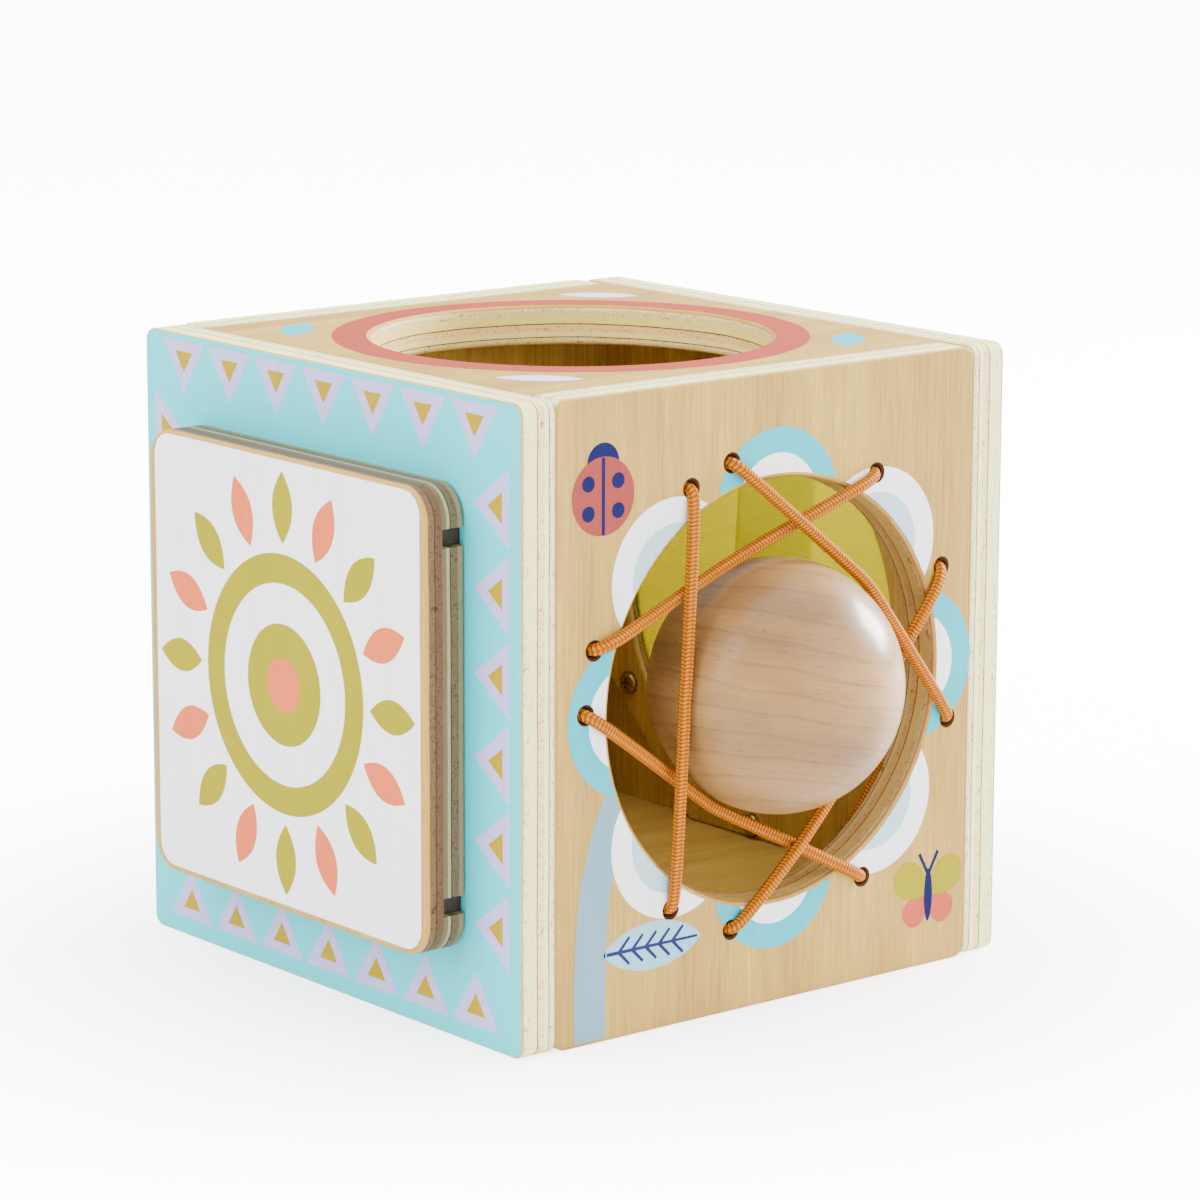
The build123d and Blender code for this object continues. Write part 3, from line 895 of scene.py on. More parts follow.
@dataclass
class SunDoor:
    """The sliding door with its runners, retainers, screws and a plain sun printed on it."""

    field_centre: Point = (0.4, 75.8)
    field_size: Point = (104.4, 106.0)
    field_corner: float = 5.5
    ray_count: int = 16
    ray_reach: float = 42.0
    ray_length: float = 17.0
    ray_width: float = 8.0
    rings: tuple[tuple[str, float, Colour, str], ...] = (
        ("sun_disc", 31.0, OLIVE, "olive_ink"),
        ("sun_band", 24.0, WHITE_PAINT, "white_ink"),
        ("sun_core", 14.5, OLIVE, "olive_ink"),
        ("sun_centre", 6.5, SALMON, "salmon_ink"),
    )

    def build(self) -> None:
        """Print the white field, the sun and its rays, and dress the moving pieces."""
        self._dress()
        self._field()
        self._disc()
        self._rays()

    def _dress(self) -> None:
        """Give the door's CAD pieces their finishes."""
        low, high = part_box("sun_door")
        cover_node("sun_door", PlywoodFinish("door_plywood", Axis.X, low.x, high.x, DOOR_PLIES).material())
        # the runners are dark brown where their ends show in the door's notches: painted shade of the
        # grooves
        runner_shade_finish = PlainWoodFinish("runner_painted_shade", Axis.Y, (58, 36, 22)).material()
        beech = PlainWoodFinish("retainer_beech", Axis.Y).material()
        for node in ("lower_runner", "upper_runner"):
            cover_node(node, runner_shade_finish)
        for node in ("lower_retainer", "upper_retainer"):
            cover_node(node, beech)
        cover_node("retainer_screws", ScrewFinish("retainer_screw_zinc").material())

    def _field(self) -> None:
        """Print the white field, which leaves a bare wooden rim."""
        field_print = Motif(Face.DOOR, 0)
        x, y = self.field_centre
        half_w, half_h = self.field_size[0] / 2, self.field_size[1] / 2
        signs = ((-1, -1), (1, -1), (1, 1), (-1, 1))
        corners = [(x + half_w * right, y + half_h * up) for right, up in signs]
        field_print.outline(corners, self.field_corner)
        field_print.ink("door_white_field", paint(WHITE_PAINT, "white_ink"))

    def _disc(self) -> None:
        """Print the sun's disc as plain rings, one inside another."""
        for layer, (name, radius, colour, ink_name) in enumerate(self.rings, start=1):
            ring = Motif(Face.DOOR, layer)
            ring.disc(self.field_centre, radius, segments=112)
            ring.ink(name, paint(colour, ink_name))

    def _rays(self) -> None:
        """Print equal rays round the disc, olive and salmon in turn."""
        olive, salmon = Motif(Face.DOOR, 1), Motif(Face.DOOR, 1)
        for number in range(self.ray_count):
            angle = number * 360.0 / self.ray_count
            motif = salmon if number % 2 else olive
            middle = around(self.field_centre, self.ray_reach, angle)
            motif.petal(middle, self.ray_length, self.ray_width, angle)
        olive.ink("sun_olive_rays", paint(OLIVE, "olive_ink"))
        salmon.ink("sun_salmon_rays", paint(SALMON, "salmon_ink"))


@dataclass
class BuntingBorder:
    """Bunting of triangles printed round the turquoise wall."""

    top: float = 148.5
    bottom: float = 4.5
    side: float = 69.5
    base: float = 17.3
    height: float = 12.8
    row_pitch: float = 19.0
    row_count: int = 7
    column_pitch: float = 19.45
    column_count: int = 6
    column_top: float = 126.05
    column_base: float = 18.2
    heart_start: float = 2.6
    heart_share: float = 0.4

    def build(self) -> None:
        """Print the triangles and a small one inside each."""
        triangles, hearts = Motif(Face.LEFT, 0), Motif(Face.LEFT, 1)
        for place, turn, base in self._places():
            self._triangle(triangles, place, turn, base, self.height)
            inner = around(place, self.heart_start, turn)
            self._triangle(hearts, inner, turn, base * self.heart_share, self.height * self.heart_share)
        triangles.ink("bunting_triangles", paint(LILAC, "lilac_ink"))
        hearts.ink("bunting_hearts", paint(MUSTARD, "mustard_ink"))

    def _places(self) -> list[tuple[Point, float, float]]:
        """Give the middle of each triangle's base, the direction of its point and the base's length."""
        places = []
        for number in range(self.row_count):
            along = (number - (self.row_count - 1) / 2) * self.row_pitch
            places.append(((along, self.top), -90.0, self.base))
            places.append(((along, self.bottom), 90.0, self.base))
        for number in range(self.column_count):
            level = self.column_top - number * self.column_pitch
            places.append(((-self.side, level), 0.0, self.column_base))
            places.append(((self.side, level), 180.0, self.column_base))
        return places

    @staticmethod
    def _triangle(motif: Motif, place: Point, turn: float, base: float, height: float) -> None:
        """Add a triangle that stands on the middle of its base and points along a direction."""
        corners = [around(place, base / 2, turn + side) for side in (-90.0, 90.0)]
        motif.outline([corners[0], around(place, height, turn), corners[1]])


# mouth and throat radius, level of the mouth and depth of each part of a lacing hole's lining, in mm
LINING_PARTS = ((2.5, 1.72, 0.01, 0.8), (1.72, 1.68, -0.79, 4.0))
LINING_THICKNESS = 0.04


def line_lacing_holes(places: Sequence[Point]) -> None:
    """Line the mouths of the lacing holes with dark brown, a painted shade inside the holes.

    Args:
        places: the holes' places on the front in mm.
    """
    bm = bmesh.new()
    for x, z in places:
        for mouth_r, throat_r, top, depth in LINING_PARTS:
            bmesh.ops.create_cone(
                bm, segments=32, radius1=throat_r, radius2=mouth_r, depth=depth,
                matrix=Matrix.Translation((x, z, top - depth / 2)),
            )
    bmesh.ops.solidify(bm, geom=list(bm.faces), thickness=LINING_THICKNESS)
    bmesh.ops.recalc_face_normals(bm, faces=bm.faces)
    bmesh.ops.transform(bm, matrix=Face.FRONT.matrix(), verts=bm.verts)
    # dark brown ink on the hole mouths: painted shade inside the holes
    finish = PrintFinish("lacing_hole_painted_shade", (70, 40, 20), Axis.Y, 0.7).material()
    finished_object("lacing_hole_shade_linings", bm, finish, "cube", True)


@dataclass
class FlowerWall:
    """Everything printed on the front wall: plain flower, stem, leaf, ladybird and butterfly."""

    hole: Point = (1.85, 75.2)
    hole_r: float = 51.2
    lace_hole_r: float = 2.5
    petal_count: int = 8
    petal_reach: float = 43.5
    petal_r: float = 18.5
    petal_heart_r: float = 12.5
    ladybird: Point = (-50.0, 127.0)
    butterfly: Point = (51.5, 17.5)
    leaf: Point = (-35.1, 20.4)

    def build(self, lacing_places: Sequence[Point]) -> None:
        """Print the whole front.

        Args:
            lacing_places: the lacing holes in mm, which stay open.
        """
        self.cutter = bmesh.new()
        add_rod(self.cutter, self.hole, self.hole_r, 144)
        for place in lacing_places:
            add_rod(self.cutter, place, self.lace_hole_r, 24)
        self._stem_and_leaf()
        self._ladybird()
        self._petals()
        self._butterfly()
        self.cutter.free()
        line_lacing_holes(lacing_places)

    def _petal_layer(
        self, name: str, centres: Sequence[Point], radius: float, layer: int, ink: bpy.types.Material
    ) -> None:
        """Print one ring of every petal of a kind."""
        motif = Motif(Face.FRONT, layer)
        for centre in centres:
            motif.disc(centre, radius, segments=96)
        motif.ink(name, ink, self.cutter)

    def _petals(self) -> None:
        """Print equal petals round the hole, blue and white in turn."""
        step = 360.0 / self.petal_count
        centres = [around(self.hole, self.petal_reach, number * step) for number in range(self.petal_count)]
        white = paint(PETAL_WHITE, "off_white_ink")
        self._petal_layer("blue_petals", centres[::2], self.petal_r, 1, paint(PETAL_BLUE, "petal_blue_ink"))
        self._petal_layer("blue_petal_hearts", centres[::2], self.petal_heart_r, 2, white)
        self._petal_layer("white_petals", centres[1::2], self.petal_r, 3, white)
        grey = paint(PETAL_GREY, "petal_grey_ink")
        self._petal_layer("white_petal_hearts", centres[1::2], self.petal_heart_r, 4, grey)

    def _stem_and_leaf(self) -> None:
        """Print the stem, the leaf and the leaf's veins."""
        stem = Motif(Face.FRONT, 0)
        stem.stroke([(-53.5, 0.9), (-54.0, 25.0), (-53.7, 45.0), (-42.0, 61.0)], 9.2, 8.6)
        stem.ink("flower_stem", paint(STEM_BLUE, "stem_ink"), self.cutter)
        x, z = self.leaf
        leaf = Motif(Face.FRONT, 0)
        leaf.petal(self.leaf, 29.0, 11.4, 0.0, 0.75, 0.75)
        leaf.ink("leaf_blade", paint(LEAF_BLUE, "leaf_ink"))
        veins = Motif(Face.FRONT, 1)
        veins.stroke([(x - 13.5, z), (x + 13.5, z)], 0.9, 0.6)
        for number in range(5):
            root = x - 10.0 + 4.0 * number
            for side in (-3.2, 3.2):
                veins.stroke([(root, z), (root + 3.2, z + side)], 0.85, 0.7)
        veins.ink("leaf_veins", paint(SOFT_NAVY, "soft_navy_ink"))

    def _ladybird(self) -> None:
        """Print a plain ladybird, seen from above."""
        x, z = self.ladybird
        navy = paint(NAVY, "navy_ink")
        head = Motif(Face.FRONT, 0)
        head.disc((x, z + 7.6), 4.6)
        head.ink("ladybird_head", navy, self.cutter)
        shell = Motif(Face.FRONT, 1)
        shell.disc(self.ladybird, 9.0, segments=72)
        shell.ink("ladybird_shell", paint(SHELL_PINK, "shell_ink"), self.cutter)
        spots = Motif(Face.FRONT, 2)
        spots.stroke([(x, z - 8.8), (x, z + 8.8)], 0.9)
        for side in (-4.3, 4.3):
            for level in (-3.6, 3.2):
                spots.disc((x + side, z + level), 1.8)
        spots.ink("ladybird_spots", navy, self.cutter)

    def _butterfly(self) -> None:
        """Print a plain butterfly with its wings open."""
        x, z = self.butterfly
        pink, olive = paint(WING_PINK, "wing_ink"), paint(OLIVE, "olive_ink")
        pairs = (
            ("butterfly_lower_wings", -40.0, 9.0, 7.4, pink),
            ("butterfly_upper_wings", 35.0, 12.0, 9.0, olive),
        )
        for layer, (name, angle, length, width, wing_ink) in enumerate(pairs):
            wings = Motif(Face.FRONT, layer)
            for turn in (angle, 180.0 - angle):
                wings.petal(around(self.butterfly, length / 2 + 0.5, turn), length, width, turn, 0.8, 0.5)
            wings.ink(name, wing_ink)
        body = Motif(Face.FRONT, len(pairs))
        body.petal(self.butterfly, 13.0, 2.6, 90.0, 0.6, 0.6)
        for side in (-3.0, 3.0):
            body.stroke([(x, z + 5.0), (x + side, z + 10.5)], 0.8)
        body.ink("butterfly_body", paint(NAVY, "navy_ink"))


@dataclass
class TopPrint:
    """Everything printed on the top: a plain ring round the posting hole and four leaves."""

    hole_r: float = 49.2
    ring_r: float = 57.5
    leaf_reach: float = 66.5
    leaf_length: float = 20.0
    leaf_width: float = 8.0

    def build(self) -> None:
        """Print the top."""
        cutter = bmesh.new()
        add_rod(cutter, (0.0, 0.0), self.hole_r, 144)
        ring = Motif(Face.TOP, 0)
        ring.disc((0.0, 0.0), self.ring_r, segments=160)
        ring.ink("posting_ring", paint(RING_PINK, "ring_ink", Axis.X), cutter)
        cutter.free()
        pale, blue = paint(PALE_LILAC, "pale_ink", Axis.X), paint(PETAL_BLUE, "blue_leaf_ink", Axis.X)
        for name, start, leaf_ink in (("pale_leaves", 45.0, pale), ("blue_leaves", 135.0, blue)):
            leaves = Motif(Face.TOP, 0)
            for angle in (start, start + 180.0):
                middle = around((0.0, 0.0), self.leaf_reach, angle)
                leaves.petal(middle, self.leaf_length, self.leaf_width, angle + 90.0, 0.8, 0.8)
            leaves.ink(name, leaf_ink)


@dataclass(frozen=True)
class Run:
    """One run of the elastic over the front, in mm: its holes and how far it stands off."""

    first: int
    last: int
    middle_lift: float
    crossing_lifts: tuple[float, ...] = ()


def spline_points(name: str, corners: Sequence[Vector], resolution: int = 12) -> list[Vector]:
    """Read a smooth line from a NURBS spline.

    Args:
        name: name of the spline while it lasts.
        corners: its control points.
        resolution: points for each control point.

    Returns:
        The line's points in order.
    """
    curve = bpy.data.curves.new(name, "CURVE")
    curve.dimensions = "3D"
    spline = curve.splines.new("NURBS")
    spline.points.add(len(corners) - 1)
    for point, corner in zip(spline.points, corners):
        point.co = (*corner, 1.0)
    spline.order_u = 3
    spline.use_endpoint_u = True
    spline.resolution_u = resolution
    holder = bpy.data.objects.new(name, curve)
    bpy.context.scene.collection.objects.link(holder)
    depsgraph = bpy.context.evaluated_depsgraph_get()
    mesh = bpy.data.meshes.new_from_object(holder.evaluated_get(depsgraph))
    points = [vert.co.copy() for vert in mesh.vertices]
    bpy.data.objects.remove(holder)
    bpy.data.curves.remove(curve)
    bpy.data.meshes.remove(mesh)
    return points


def spaced(points: Sequence[Vector], step: float) -> list[Vector]:
    """Space points evenly along a line.

    Args:
        points: the line's points.
        step: distance between two points, changed a little to fit.

    Returns:
        The evenly spaced points, with both ends.
    """
    lengths = [0.0]
    for first, second in zip(points, points[1:]):
        lengths.append(lengths[-1] + (second - first).length)
    count = max(2, round(lengths[-1] / step))
    result, index = [], 0
    for number in range(count + 1):
        target = lengths[-1] * number / count
        while index < len(points) - 2 and lengths[index + 1] < target:
            index += 1
        span = lengths[index + 1] - lengths[index]
        share = (target - lengths[index]) / span if span else 0.0
        result.append(points[index].lerp(points[index + 1], min(1.0, share)))
    return result


def tube(line: Sequence[Vector], radius: Callable[[int, float], float], sides: int) -> bmesh.types.BMesh:
    """Make a closed tube along a line, with its length in U and its turn in V.

    Args:
        line: the centre line's points.
        radius: gives the radius for a point's number and a share of the turn.
        sides: number of faces round it.

    Returns:
        The tube.
    """
    count = len(line) - 1
    frames, side = [], None
    for number, point in enumerate(line):
        ahead = (line[min(number + 1, count)] - line[max(number - 1, 0)]).normalized()
        if side is None:
            side = ahead.orthogonal().normalized()
        side = (side - ahead * side.dot(ahead)).normalized()
        frames.append((point, side, ahead.cross(side)))
    bm = bmesh.new()
    bm.loops.layers.uv.new("UVMap")
    made = bmesh.ops.create_grid(bm, x_segments=count, y_segments=sides, size=1.0, calc_uvs=True)
    for vert in made["verts"]:
        number = round((vert.co.x + 1) / 2 * count)
        share = (vert.co.y + 1) / 2
        centre, right, up = frames[number]
        angle = 2 * math.pi * share
        reach = radius(number, share % 1.0)
        vert.co = centre + (right * math.cos(angle) + up * math.sin(angle)) * reach
    bmesh.ops.remove_doubles(bm, verts=bm.verts, dist=1e-7)
    ends = [edge for edge in bm.edges if edge.is_boundary]
    bmesh.ops.holes_fill(bm, edges=ends, sides=0)
    bmesh.ops.recalc_face_normals(bm, faces=bm.faces)
    return bm


@dataclass
class Lacing:
    """The one elastic cord that is threaded through the front wall and holds the ball."""

    hole: Point = (1.85, 75.2)
    circle_r: float = 56.9
    angles: tuple[float, ...] = (117.2, 104.2, 57.2, 23.5, -14.9, -60.6, -103.3, -123.7, 177.7, 162.8)
    cord_r: float = 1.5
    standoff: float = 0.05
    sides: int = 14
    knot_step: float = 0.15
    knot_cord_r: float = 1.15
    rib_depth: float = 0.09
    bend: float = 3.4
    dive: float = 1.5
    lean: float = 3.6
    rim_reach: float = 9.5
    ball_clearance: float = 0.3
    stitch: float = 0.9
    stitch_rings: int = 6
    knot_bite: float = 1.0
    runs: tuple[Run, ...] = (
        Run(1, 8, 3.2),
        Run(7, 4, 0.0, (1.5, -1.9)),
        Run(3, 10, -3.4),
        Run(9, 6, -4.4),
        Run(5, 2, 4.2),
    )

    def __post_init__(self) -> None:
        """Work out the places that come from the CAD model."""
        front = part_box("front_panel")
        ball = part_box("ball")
        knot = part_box("lacing_knot")
        self.front_y = front[0].y / MM - self.cord_r - self.standoff
        self.back_y = front[1].y / MM + self.cord_r + self.standoff
        self.ball = (ball[0] + ball[1]) / 2 / MM
        self.clear_r = (ball[1].z - ball[0].z) / 2 / MM + self.cord_r + self.ball_clearance
        self.knot = (knot[0] + knot[1]) / 2 / MM
        self.knot_r = (knot[1].z - knot[0].z) / 2 / MM

    def place(self, number: int) -> Vector:
        """Give the (x, z) of a lacing hole, by its number from 1."""
        angle = math.radians(self.angles[number - 1])
        reach = Vector((math.cos(angle), math.sin(angle))) * self.circle_r
        return Vector(self.hole) + reach

    def places(self) -> list[Point]:
        """Give every lacing hole's (x, z)."""
        return [tuple(self.place(number)) for number in range(1, len(self.angles) + 1)]

    def _round_ball(self, start: Vector, end: Vector) -> Optional[Vector]:
        """Give the corner of a taut run that goes round the ball, or None where it is clear."""
        ball = Vector((self.ball.x, self.ball.z))
        along = (end - start).normalized()
        side = Vector((-along.y, along.x))
        offset = (start - ball).dot(side)
        if abs(offset) >= self.clear_r:
            return None
        turns = []
        for point in (start, end):
            reach = (point - ball).length
            turns.append(math.asin(self.clear_r / reach) - math.asin(abs(offset) / reach))
        distance = (end - start).length * math.sin(turns[1]) / math.sin(sum(turns))
        away = side * math.copysign(math.sin(turns[0]), offset)
        return start + (along * math.cos(turns[0]) + away) * distance

    def _run_points(self, run: Run) -> list[Vector]:
        """Give the control points of one run between its two holes."""
        start, end = self.place(run.first), self.place(run.last)
        corner = self._round_ball(start, end)
        flat: list[tuple[Vector, float]] = []
        if corner is None:
            flat.append(((start + end) / 2, run.middle_lift))
        else:
            flat += self._ball_bend(start, corner, end, run.middle_lift)
        if run.crossing_lifts:
            middle = (start + end) / 2 if corner is None else corner
            flat.insert(0, (start.lerp(middle, 0.5), run.crossing_lifts[0]))
            flat.append((middle.lerp(end, 0.5), run.crossing_lifts[1]))
        if run.middle_lift < 0:
            flat.insert(0, (start + (flat[0][0] - start).normalized() * self.rim_reach, 0.0))
        if flat[-1][1] < 0:
            flat.append((end + (flat[-1][0] - end).normalized() * self.rim_reach, 0.0))
        return [Vector((place.x, self.front_y - lift, place.y)) for place, lift in flat]

    def _ball_bend(
        self, start: Vector, corner: Vector, end: Vector, lift: float
    ) -> list[tuple[Vector, float]]:
        """Give three control points that carry a run round the ball."""
        before, after = (corner - start).normalized(), (end - corner).normalized()
        turn = before.angle(after)
        reach = 2 * self.clear_r * math.tan(turn / 2)
        reach = min(reach, 0.45 * (corner - start).length, 0.45 * (end - corner).length)
        return [(corner - before * reach, lift), (corner, lift), (corner + after * reach, lift)]

    def _mouth(self, number: int, towards: Vector, outwards: bool) -> list[Vector]:
        """Give the control points of the cord's two turns at a lacing hole.

        Args:
            number: the hole.
            towards: next or last control point on the front.
            outwards: whether the cord comes out here.

        Returns:
            The points, in the order in which the cord passes them.
        """
        place = self.place(number)
        front = Vector((place.x, self.front_y, place.y))
        back = Vector((place.x, self.back_y, place.y))
        inward = (back - front).normalized()
        ahead = (towards - front).normalized()
        throat = front + inward * self.dive + ahead * 0.2
        before, after = back - inward * self.bend, throat + inward * self.bend
        points = [back, before, after, throat, front + ahead * self.lean]
        return points if outwards else points[::-1]

    def route(self) -> list[Vector]:
        """Give every control point of the lacing, from the knot and back to it, in mm."""
        first, last = self.place(1), self.place(2)
        along = (first - last).normalized()
        tie = Vector((self.knot.x, self.back_y, self.knot.z))
        towards_first = Vector((along.x, 0.0, along.y)) * (self.knot_r - self.knot_bite)
        points = [tie + towards_first]
        for run in self.runs:
            middle = self._run_points(run)
            leaving = self._mouth(run.first, middle[0], True)
            arriving = self._mouth(run.last, middle[-1], False)
            points.append(self._beside_back(points[-1], leaving[0]))
            points += leaving + middle + arriving
            following = self._next_back(run, tie - towards_first)
            points.append(self._beside_back(following, arriving[-1]))
        points.append(tie - towards_first)
        return points

    def _beside_back(self, other: Vector, corner: Vector) -> Vector:
        """Give the point beside a corner on the inside of the wall, towards another point."""
        gap = other - corner
        return corner + gap.normalized() * min(self.bend, 0.45 * gap.length)

    def _next_back(self, run: Run, end: Vector) -> Vector:
        """Give the next place that the cord goes to on the inside after a run."""
        index = self.runs.index(run)
        if index + 1 == len(self.runs):
            return end
        place = self.place(self.runs[index + 1].first)
        return Vector((place.x, self.back_y, place.y))

    def _rib(self, number: int, share: float) -> float:
        """Give the cord's radius in metres, with its stitches raised."""
        column = abs((share * 3.0) % 1.0 - 0.5)
        wave = abs(math.sin(math.pi * (number / self.stitch_rings + column * 0.9)))
        return (self.cord_r - self.rib_depth + self.rib_depth * wave) * MM

    def build(self) -> None:
        """Make the cord and its knot."""
        line = spline_points("lacing_line", [point * MM for point in self.route()])
        step = self.stitch / self.stitch_rings * MM
        line = spaced(line, step)
        length = step * (len(line) - 1)
        LOG.info("elastic cord of %.1f mm", length / MM)
        finish = ElasticFinish("braided_elastic", length / MM / self.stitch).material()
        body = tube(line, self._rib, self.sides)
        cord = finished_object("elastic_cord", body, finish, "cube", True)
        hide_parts("elastic_lacing")
        self._tie()

    def _tie(self) -> None:
        """Make the overhand knot and the cord's two cut ends."""
        centre, squeeze = self.knot, 0.72
        loop = []
        for number in range(24):
            turn = 2 * math.pi * number / 24
            x = math.sin(turn) + 2 * math.sin(2 * turn)
            z = math.cos(turn) - 2 * math.cos(2 * turn)
            loop.append(centre + Vector((x, -1.3 * math.sin(3 * turn), z)) * squeeze)
        loop_points = [point * MM for point in loop + loop[:2]]
        line = spaced(spline_points("knot_line", loop_points), self.knot_step * MM)
        radius = self.knot_cord_r * MM
        length = self.knot_step * (len(line) - 1)
        finish = ElasticFinish("knot_elastic", length / self.stitch).material()
        body = tube(line, lambda number, share: radius, self.sides)
        knot = finished_object("elastic_knot", body, finish, "cube", True)
        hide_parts("lacing_knot")
        for name, side in (("cord_end_upper", 1.0), ("cord_end_lower", -1.0)):
            points = [
                centre + Vector((0.6 * side, 0.6, 0.8 * side)),
                centre + Vector((1.4 * side, 2.6, 2.2 * side)),
                centre + Vector((1.6 * side, 5.0, 3.6 * side)),
                centre + Vector((0.9 * side, 7.5, 5.6 * side)),
            ]
            tail = spaced(spline_points(name, [point * MM for point in points]), self.knot_step * MM)
            stitches = self.knot_step * (len(tail) - 1) / self.stitch
            tail_finish = ElasticFinish(name + "_elastic", stitches).material()
            finished_object(name, tube(tail, self._rib, self.sides), tail_finish, "cube", True)


@dataclass
class Curtain:
    """The two overlapping fabric flaps, their octagonal clamping frame and its screws."""

    middle_z: float = 75.2
    hole_r: float = 48.0
    cell: float = 2.0
    bulge: float = 2.2
    fabric_t: float = 0.45

    def build(self) -> None:
        """Make the flaps and dress the frame and its screws."""
        low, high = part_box("curtain_frame")
        frame_finish = PlywoodFinish("frame_plywood", Axis.X, low.x, high.x, FRAME_PLIES)
        cover_node("curtain_frame", frame_finish.material())
        cover_node("curtain_screws", ScrewFinish("curtain_screw_zinc").material())
        finish = CurtainFinish("ribbed_curtain", (206, 200, 0)).material()
        self._flap("outer_flap", "outer_curtain_flap", 1.0, finish)
        self._flap("inner_flap", "inner_curtain_flap", -1.0, finish)

    def _flap(self, name: str, node: str, bulge_side: float, finish: bpy.types.Material) -> None:
        """Make one flap.

        Args:
            name: the piece's name.
            node: the CAD node whose place it takes.
            bulge_side: 1 where it billows outwards, -1 where it billows inwards.
            finish: its material.
        """
        low, high = (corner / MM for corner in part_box(node))
        inradius = max(abs(low.y), abs(high.y))
        bm = bmesh.new()
        cells = round(2 * inradius / self.cell)
        bmesh.ops.create_grid(bm, x_segments=cells, y_segments=cells, size=inradius)
        middle_x = (low.x + high.x) / 2
        to_wall = Matrix(((0, 0, 1, middle_x), (1, 0, 0, 0), (0, 1, 0, self.middle_z), (0, 0, 0, 1)))
        bmesh.ops.transform(bm, matrix=to_wall, verts=bm.verts)
        for number in range(8):
            angle = math.radians(45.0 * number)
            out = Vector((0, math.cos(angle), math.sin(angle)))
            self._trim(bm, Vector((0, 0, self.middle_z)) + out * inradius, out)
        self._trim(bm, Vector((0, low.y, 0)), Vector((0, -1, 0)))
        self._trim(bm, Vector((0, high.y, 0)), Vector((0, 1, 0)))
        area = sum(face.calc_area() for face in bm.faces)
        for vert in bm.verts:
            vert.co.x += bulge_side * self._billow(vert.co.y, vert.co.z - self.middle_z)
        bmesh.ops.transform(bm, matrix=Matrix.Scale(MM, 4), verts=bm.verts)
        piece = finished_object(name, bm, finish, "cube", True)
        thick = piece.modifiers.new("cloth_thickness", "SOLIDIFY")
        thick.thickness = self.fabric_t * MM
        thick.offset = 0.0
        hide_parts(node)

    @staticmethod
    def _trim(bm: bmesh.types.BMesh, point: Vector, out: Vector) -> None:
        """Cut off what lies outside a plane."""
        geom = list(bm.verts) + list(bm.edges) + list(bm.faces)
        bmesh.ops.bisect_plane(bm, geom=geom, plane_co=point, plane_no=out, clear_outer=True, dist=1e-5)

    def _billow(self, across: float, up: float) -> float:
        """Give how far the fabric stands out of its plane at a place in the hole, in mm."""
        reach = math.hypot(across, up) / self.hole_r
        if reach >= 1.0:
            return 0.0
        dome = (1 - reach * reach) ** 1.2
        ripple = 0.25 * math.sin(across / 7.0 + 0.6 * math.sin(up / 15.0)) * dome
        return self.bulge * dome * (0.75 + 0.25 * math.cos(up / 18.0)) + ripple


@dataclass
class Ball:
    """The turned wooden ball, finer than the CAD sphere."""

    segments: int = 128
    rings: int = 96

    def build(self) -> None:
        """Make the ball in the place of the CAD one."""
        low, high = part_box("ball")
        centre = (low + high) / 2
        bm = bmesh.new()
        bmesh.ops.create_uvsphere(
            bm, u_segments=self.segments, v_segments=self.rings, radius=(high.z - low.z) / 2,
            matrix=Matrix.Translation(centre),
        )
        finish = BallWoodFinish("varnished_ball", centre).material()
        ball = finished_object("wooden_ball", bm, finish, "ball", True)
        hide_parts("ball")


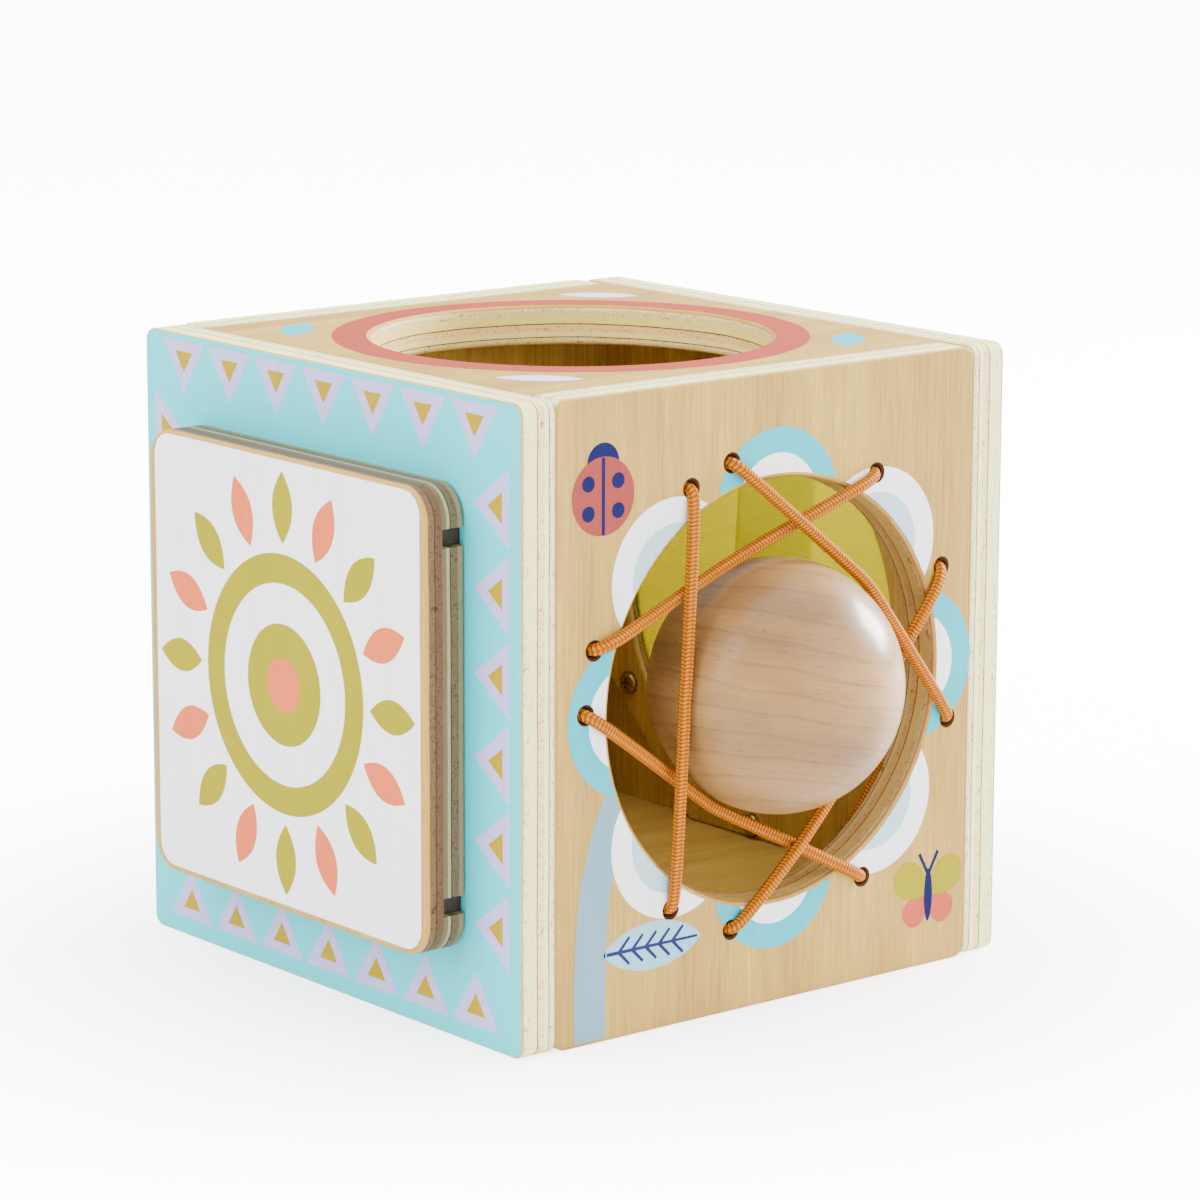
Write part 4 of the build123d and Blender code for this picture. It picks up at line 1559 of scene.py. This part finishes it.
@dataclass
class Studio:
    """Pale floor, soft lights and the camera."""

    azimuth: float = -39.26
    elevation: float = 11.895
    roll: float = 0.153
    target: tuple[float, float, float] = (9.23, 0.0, 83.5)
    distance: float = 1152.8
    lens: float = 141.4
    sky: float = 1.3
    backdrop: float = 12.0
    lights: tuple[tuple[str, tuple[float, float, float], float, float], ...] = (
        ("right_softbox", (1.33, -0.1, 0.54), 0.5, 90.0),
        ("front_softbox", (0.5, -2.3, 1.5), 2.6, 80.0),
        ("left_softbox", (-2.1, 0.7, 1.3), 2.2, 95.0),
        ("top_softbox", (0.0, 0.1, 1.6), 1.5, 24.0),
    )

    def build(self) -> None:
        """Set up the studio."""
        self._floor()
        self._world()
        for name, place, size, power in self.lights:
            self._light(name, Vector(place), size, power)
        self._camera()

    def _floor(self) -> None:
        """Lay the pale floor, which glows evenly for camera rays only, and less near the cube: a painted
        shade round its foot.
        """
        graph = Graph("studio_floor")
        cloud = graph.noise(graph.coords(), 3.0, 2.0)
        colour = graph.ramp(cloud, ((0.3, (244, 244, 244)), (0.7, (247, 247, 247))))
        reach = graph.vector("LENGTH", graph.coords())
        # the camera-ray glow is weaker within about 0.24 m of the middle: painted shade round the cube
        glow_outside_painted_shade = graph.times(graph.band(reach.outputs["Value"], 0.07, 0.24), 8.0)
        camera_ray = graph.nodes.new("ShaderNodeLightPath").outputs[0]
        seen = graph.times(camera_ray, graph.plus(glow_outside_painted_shade, 3.0))
        graph.feed(graph.shader.inputs["Emission Strength"], seen)
        material = graph.surface(colour, 0.6, emission_color=(1.0, 1.0, 1.0, 1.0))
        bm = bmesh.new()
        bmesh.ops.create_circle(bm, cap_ends=True, segments=64, radius=12.0)
        bmesh.ops.recalc_face_normals(bm, faces=bm.faces)
        mesh = bpy.data.meshes.new("floor")
        bm.to_mesh(mesh)
        bm.free()
        mesh.materials.append(material)
        floor = bpy.data.objects.new("floor", mesh)
        bpy.context.scene.collection.objects.link(floor)

    def _world(self) -> None:
        """Light everything with an even white sky."""
        world = bpy.data.worlds.new("white_sky")
        world.use_nodes = True
        background = world.node_tree.nodes["Background"]
        background.inputs["Color"].default_value = (1.0, 1.0, 1.0, 1.0)
        path = world.node_tree.nodes.new("ShaderNodeLightPath")
        level = world.node_tree.nodes.new("ShaderNodeMapRange")
        level.inputs["To Min"].default_value = self.sky
        level.inputs["To Max"].default_value = self.backdrop
        world.node_tree.links.new(path.outputs[0], level.inputs["Value"])
        world.node_tree.links.new(level.outputs[0], background.inputs["Strength"])
        bpy.context.scene.world = world

    def _light(self, name: str, place: Vector, size: float, power: float) -> None:
        """Hang one square softbox that points at the middle of the cube."""
        light = bpy.data.lights.new(name, "AREA")
        light.size = size
        light.energy = power
        holder = bpy.data.objects.new(name, light)
        holder.location = place
        aim = Vector((0.0, 0.0, 0.075)) - place
        holder.rotation_euler = aim.to_track_quat("-Z", "Y").to_euler()
        bpy.context.scene.collection.objects.link(holder)

    def _camera(self) -> None:
        """Set up the camera."""
        azimuth, elevation, roll = (math.radians(v) for v in (self.azimuth, self.elevation, self.roll))
        back = Vector(
            (
                math.sin(azimuth) * math.cos(elevation),
                -math.cos(azimuth) * math.cos(elevation),
                math.sin(elevation),
            )
        )
        level = Vector((math.cos(azimuth), math.sin(azimuth), 0.0))
        up = back.cross(level)
        right = level * math.cos(roll) + up * math.sin(roll)
        upright = up * math.cos(roll) - level * math.sin(roll)
        data = bpy.data.cameras.new("camera")
        data.sensor_width = 36.0
        data.lens = self.lens
        data.clip_start = 0.01
        camera = bpy.data.objects.new("camera", data)
        camera.location = (Vector(self.target) + back * self.distance) * MM
        camera.rotation_euler = Matrix((right, upright, back)).transposed().to_euler()
        bpy.context.scene.collection.objects.link(camera)
        bpy.context.scene.camera = camera


def main() -> None:
    """Build the visual model round the frame."""
    logging.basicConfig(level=logging.INFO, format="%(name)s %(message)s")
    Studio().build()
    Carcass().dress()
    SunDoor().build()
    BuntingBorder().build()
    lacing = Lacing()
    lacing.build()
    FlowerWall().build(lacing.places())
    TopPrint().build()
    Curtain().build()
    Ball().build()


if __name__ == "__main__":
    main()
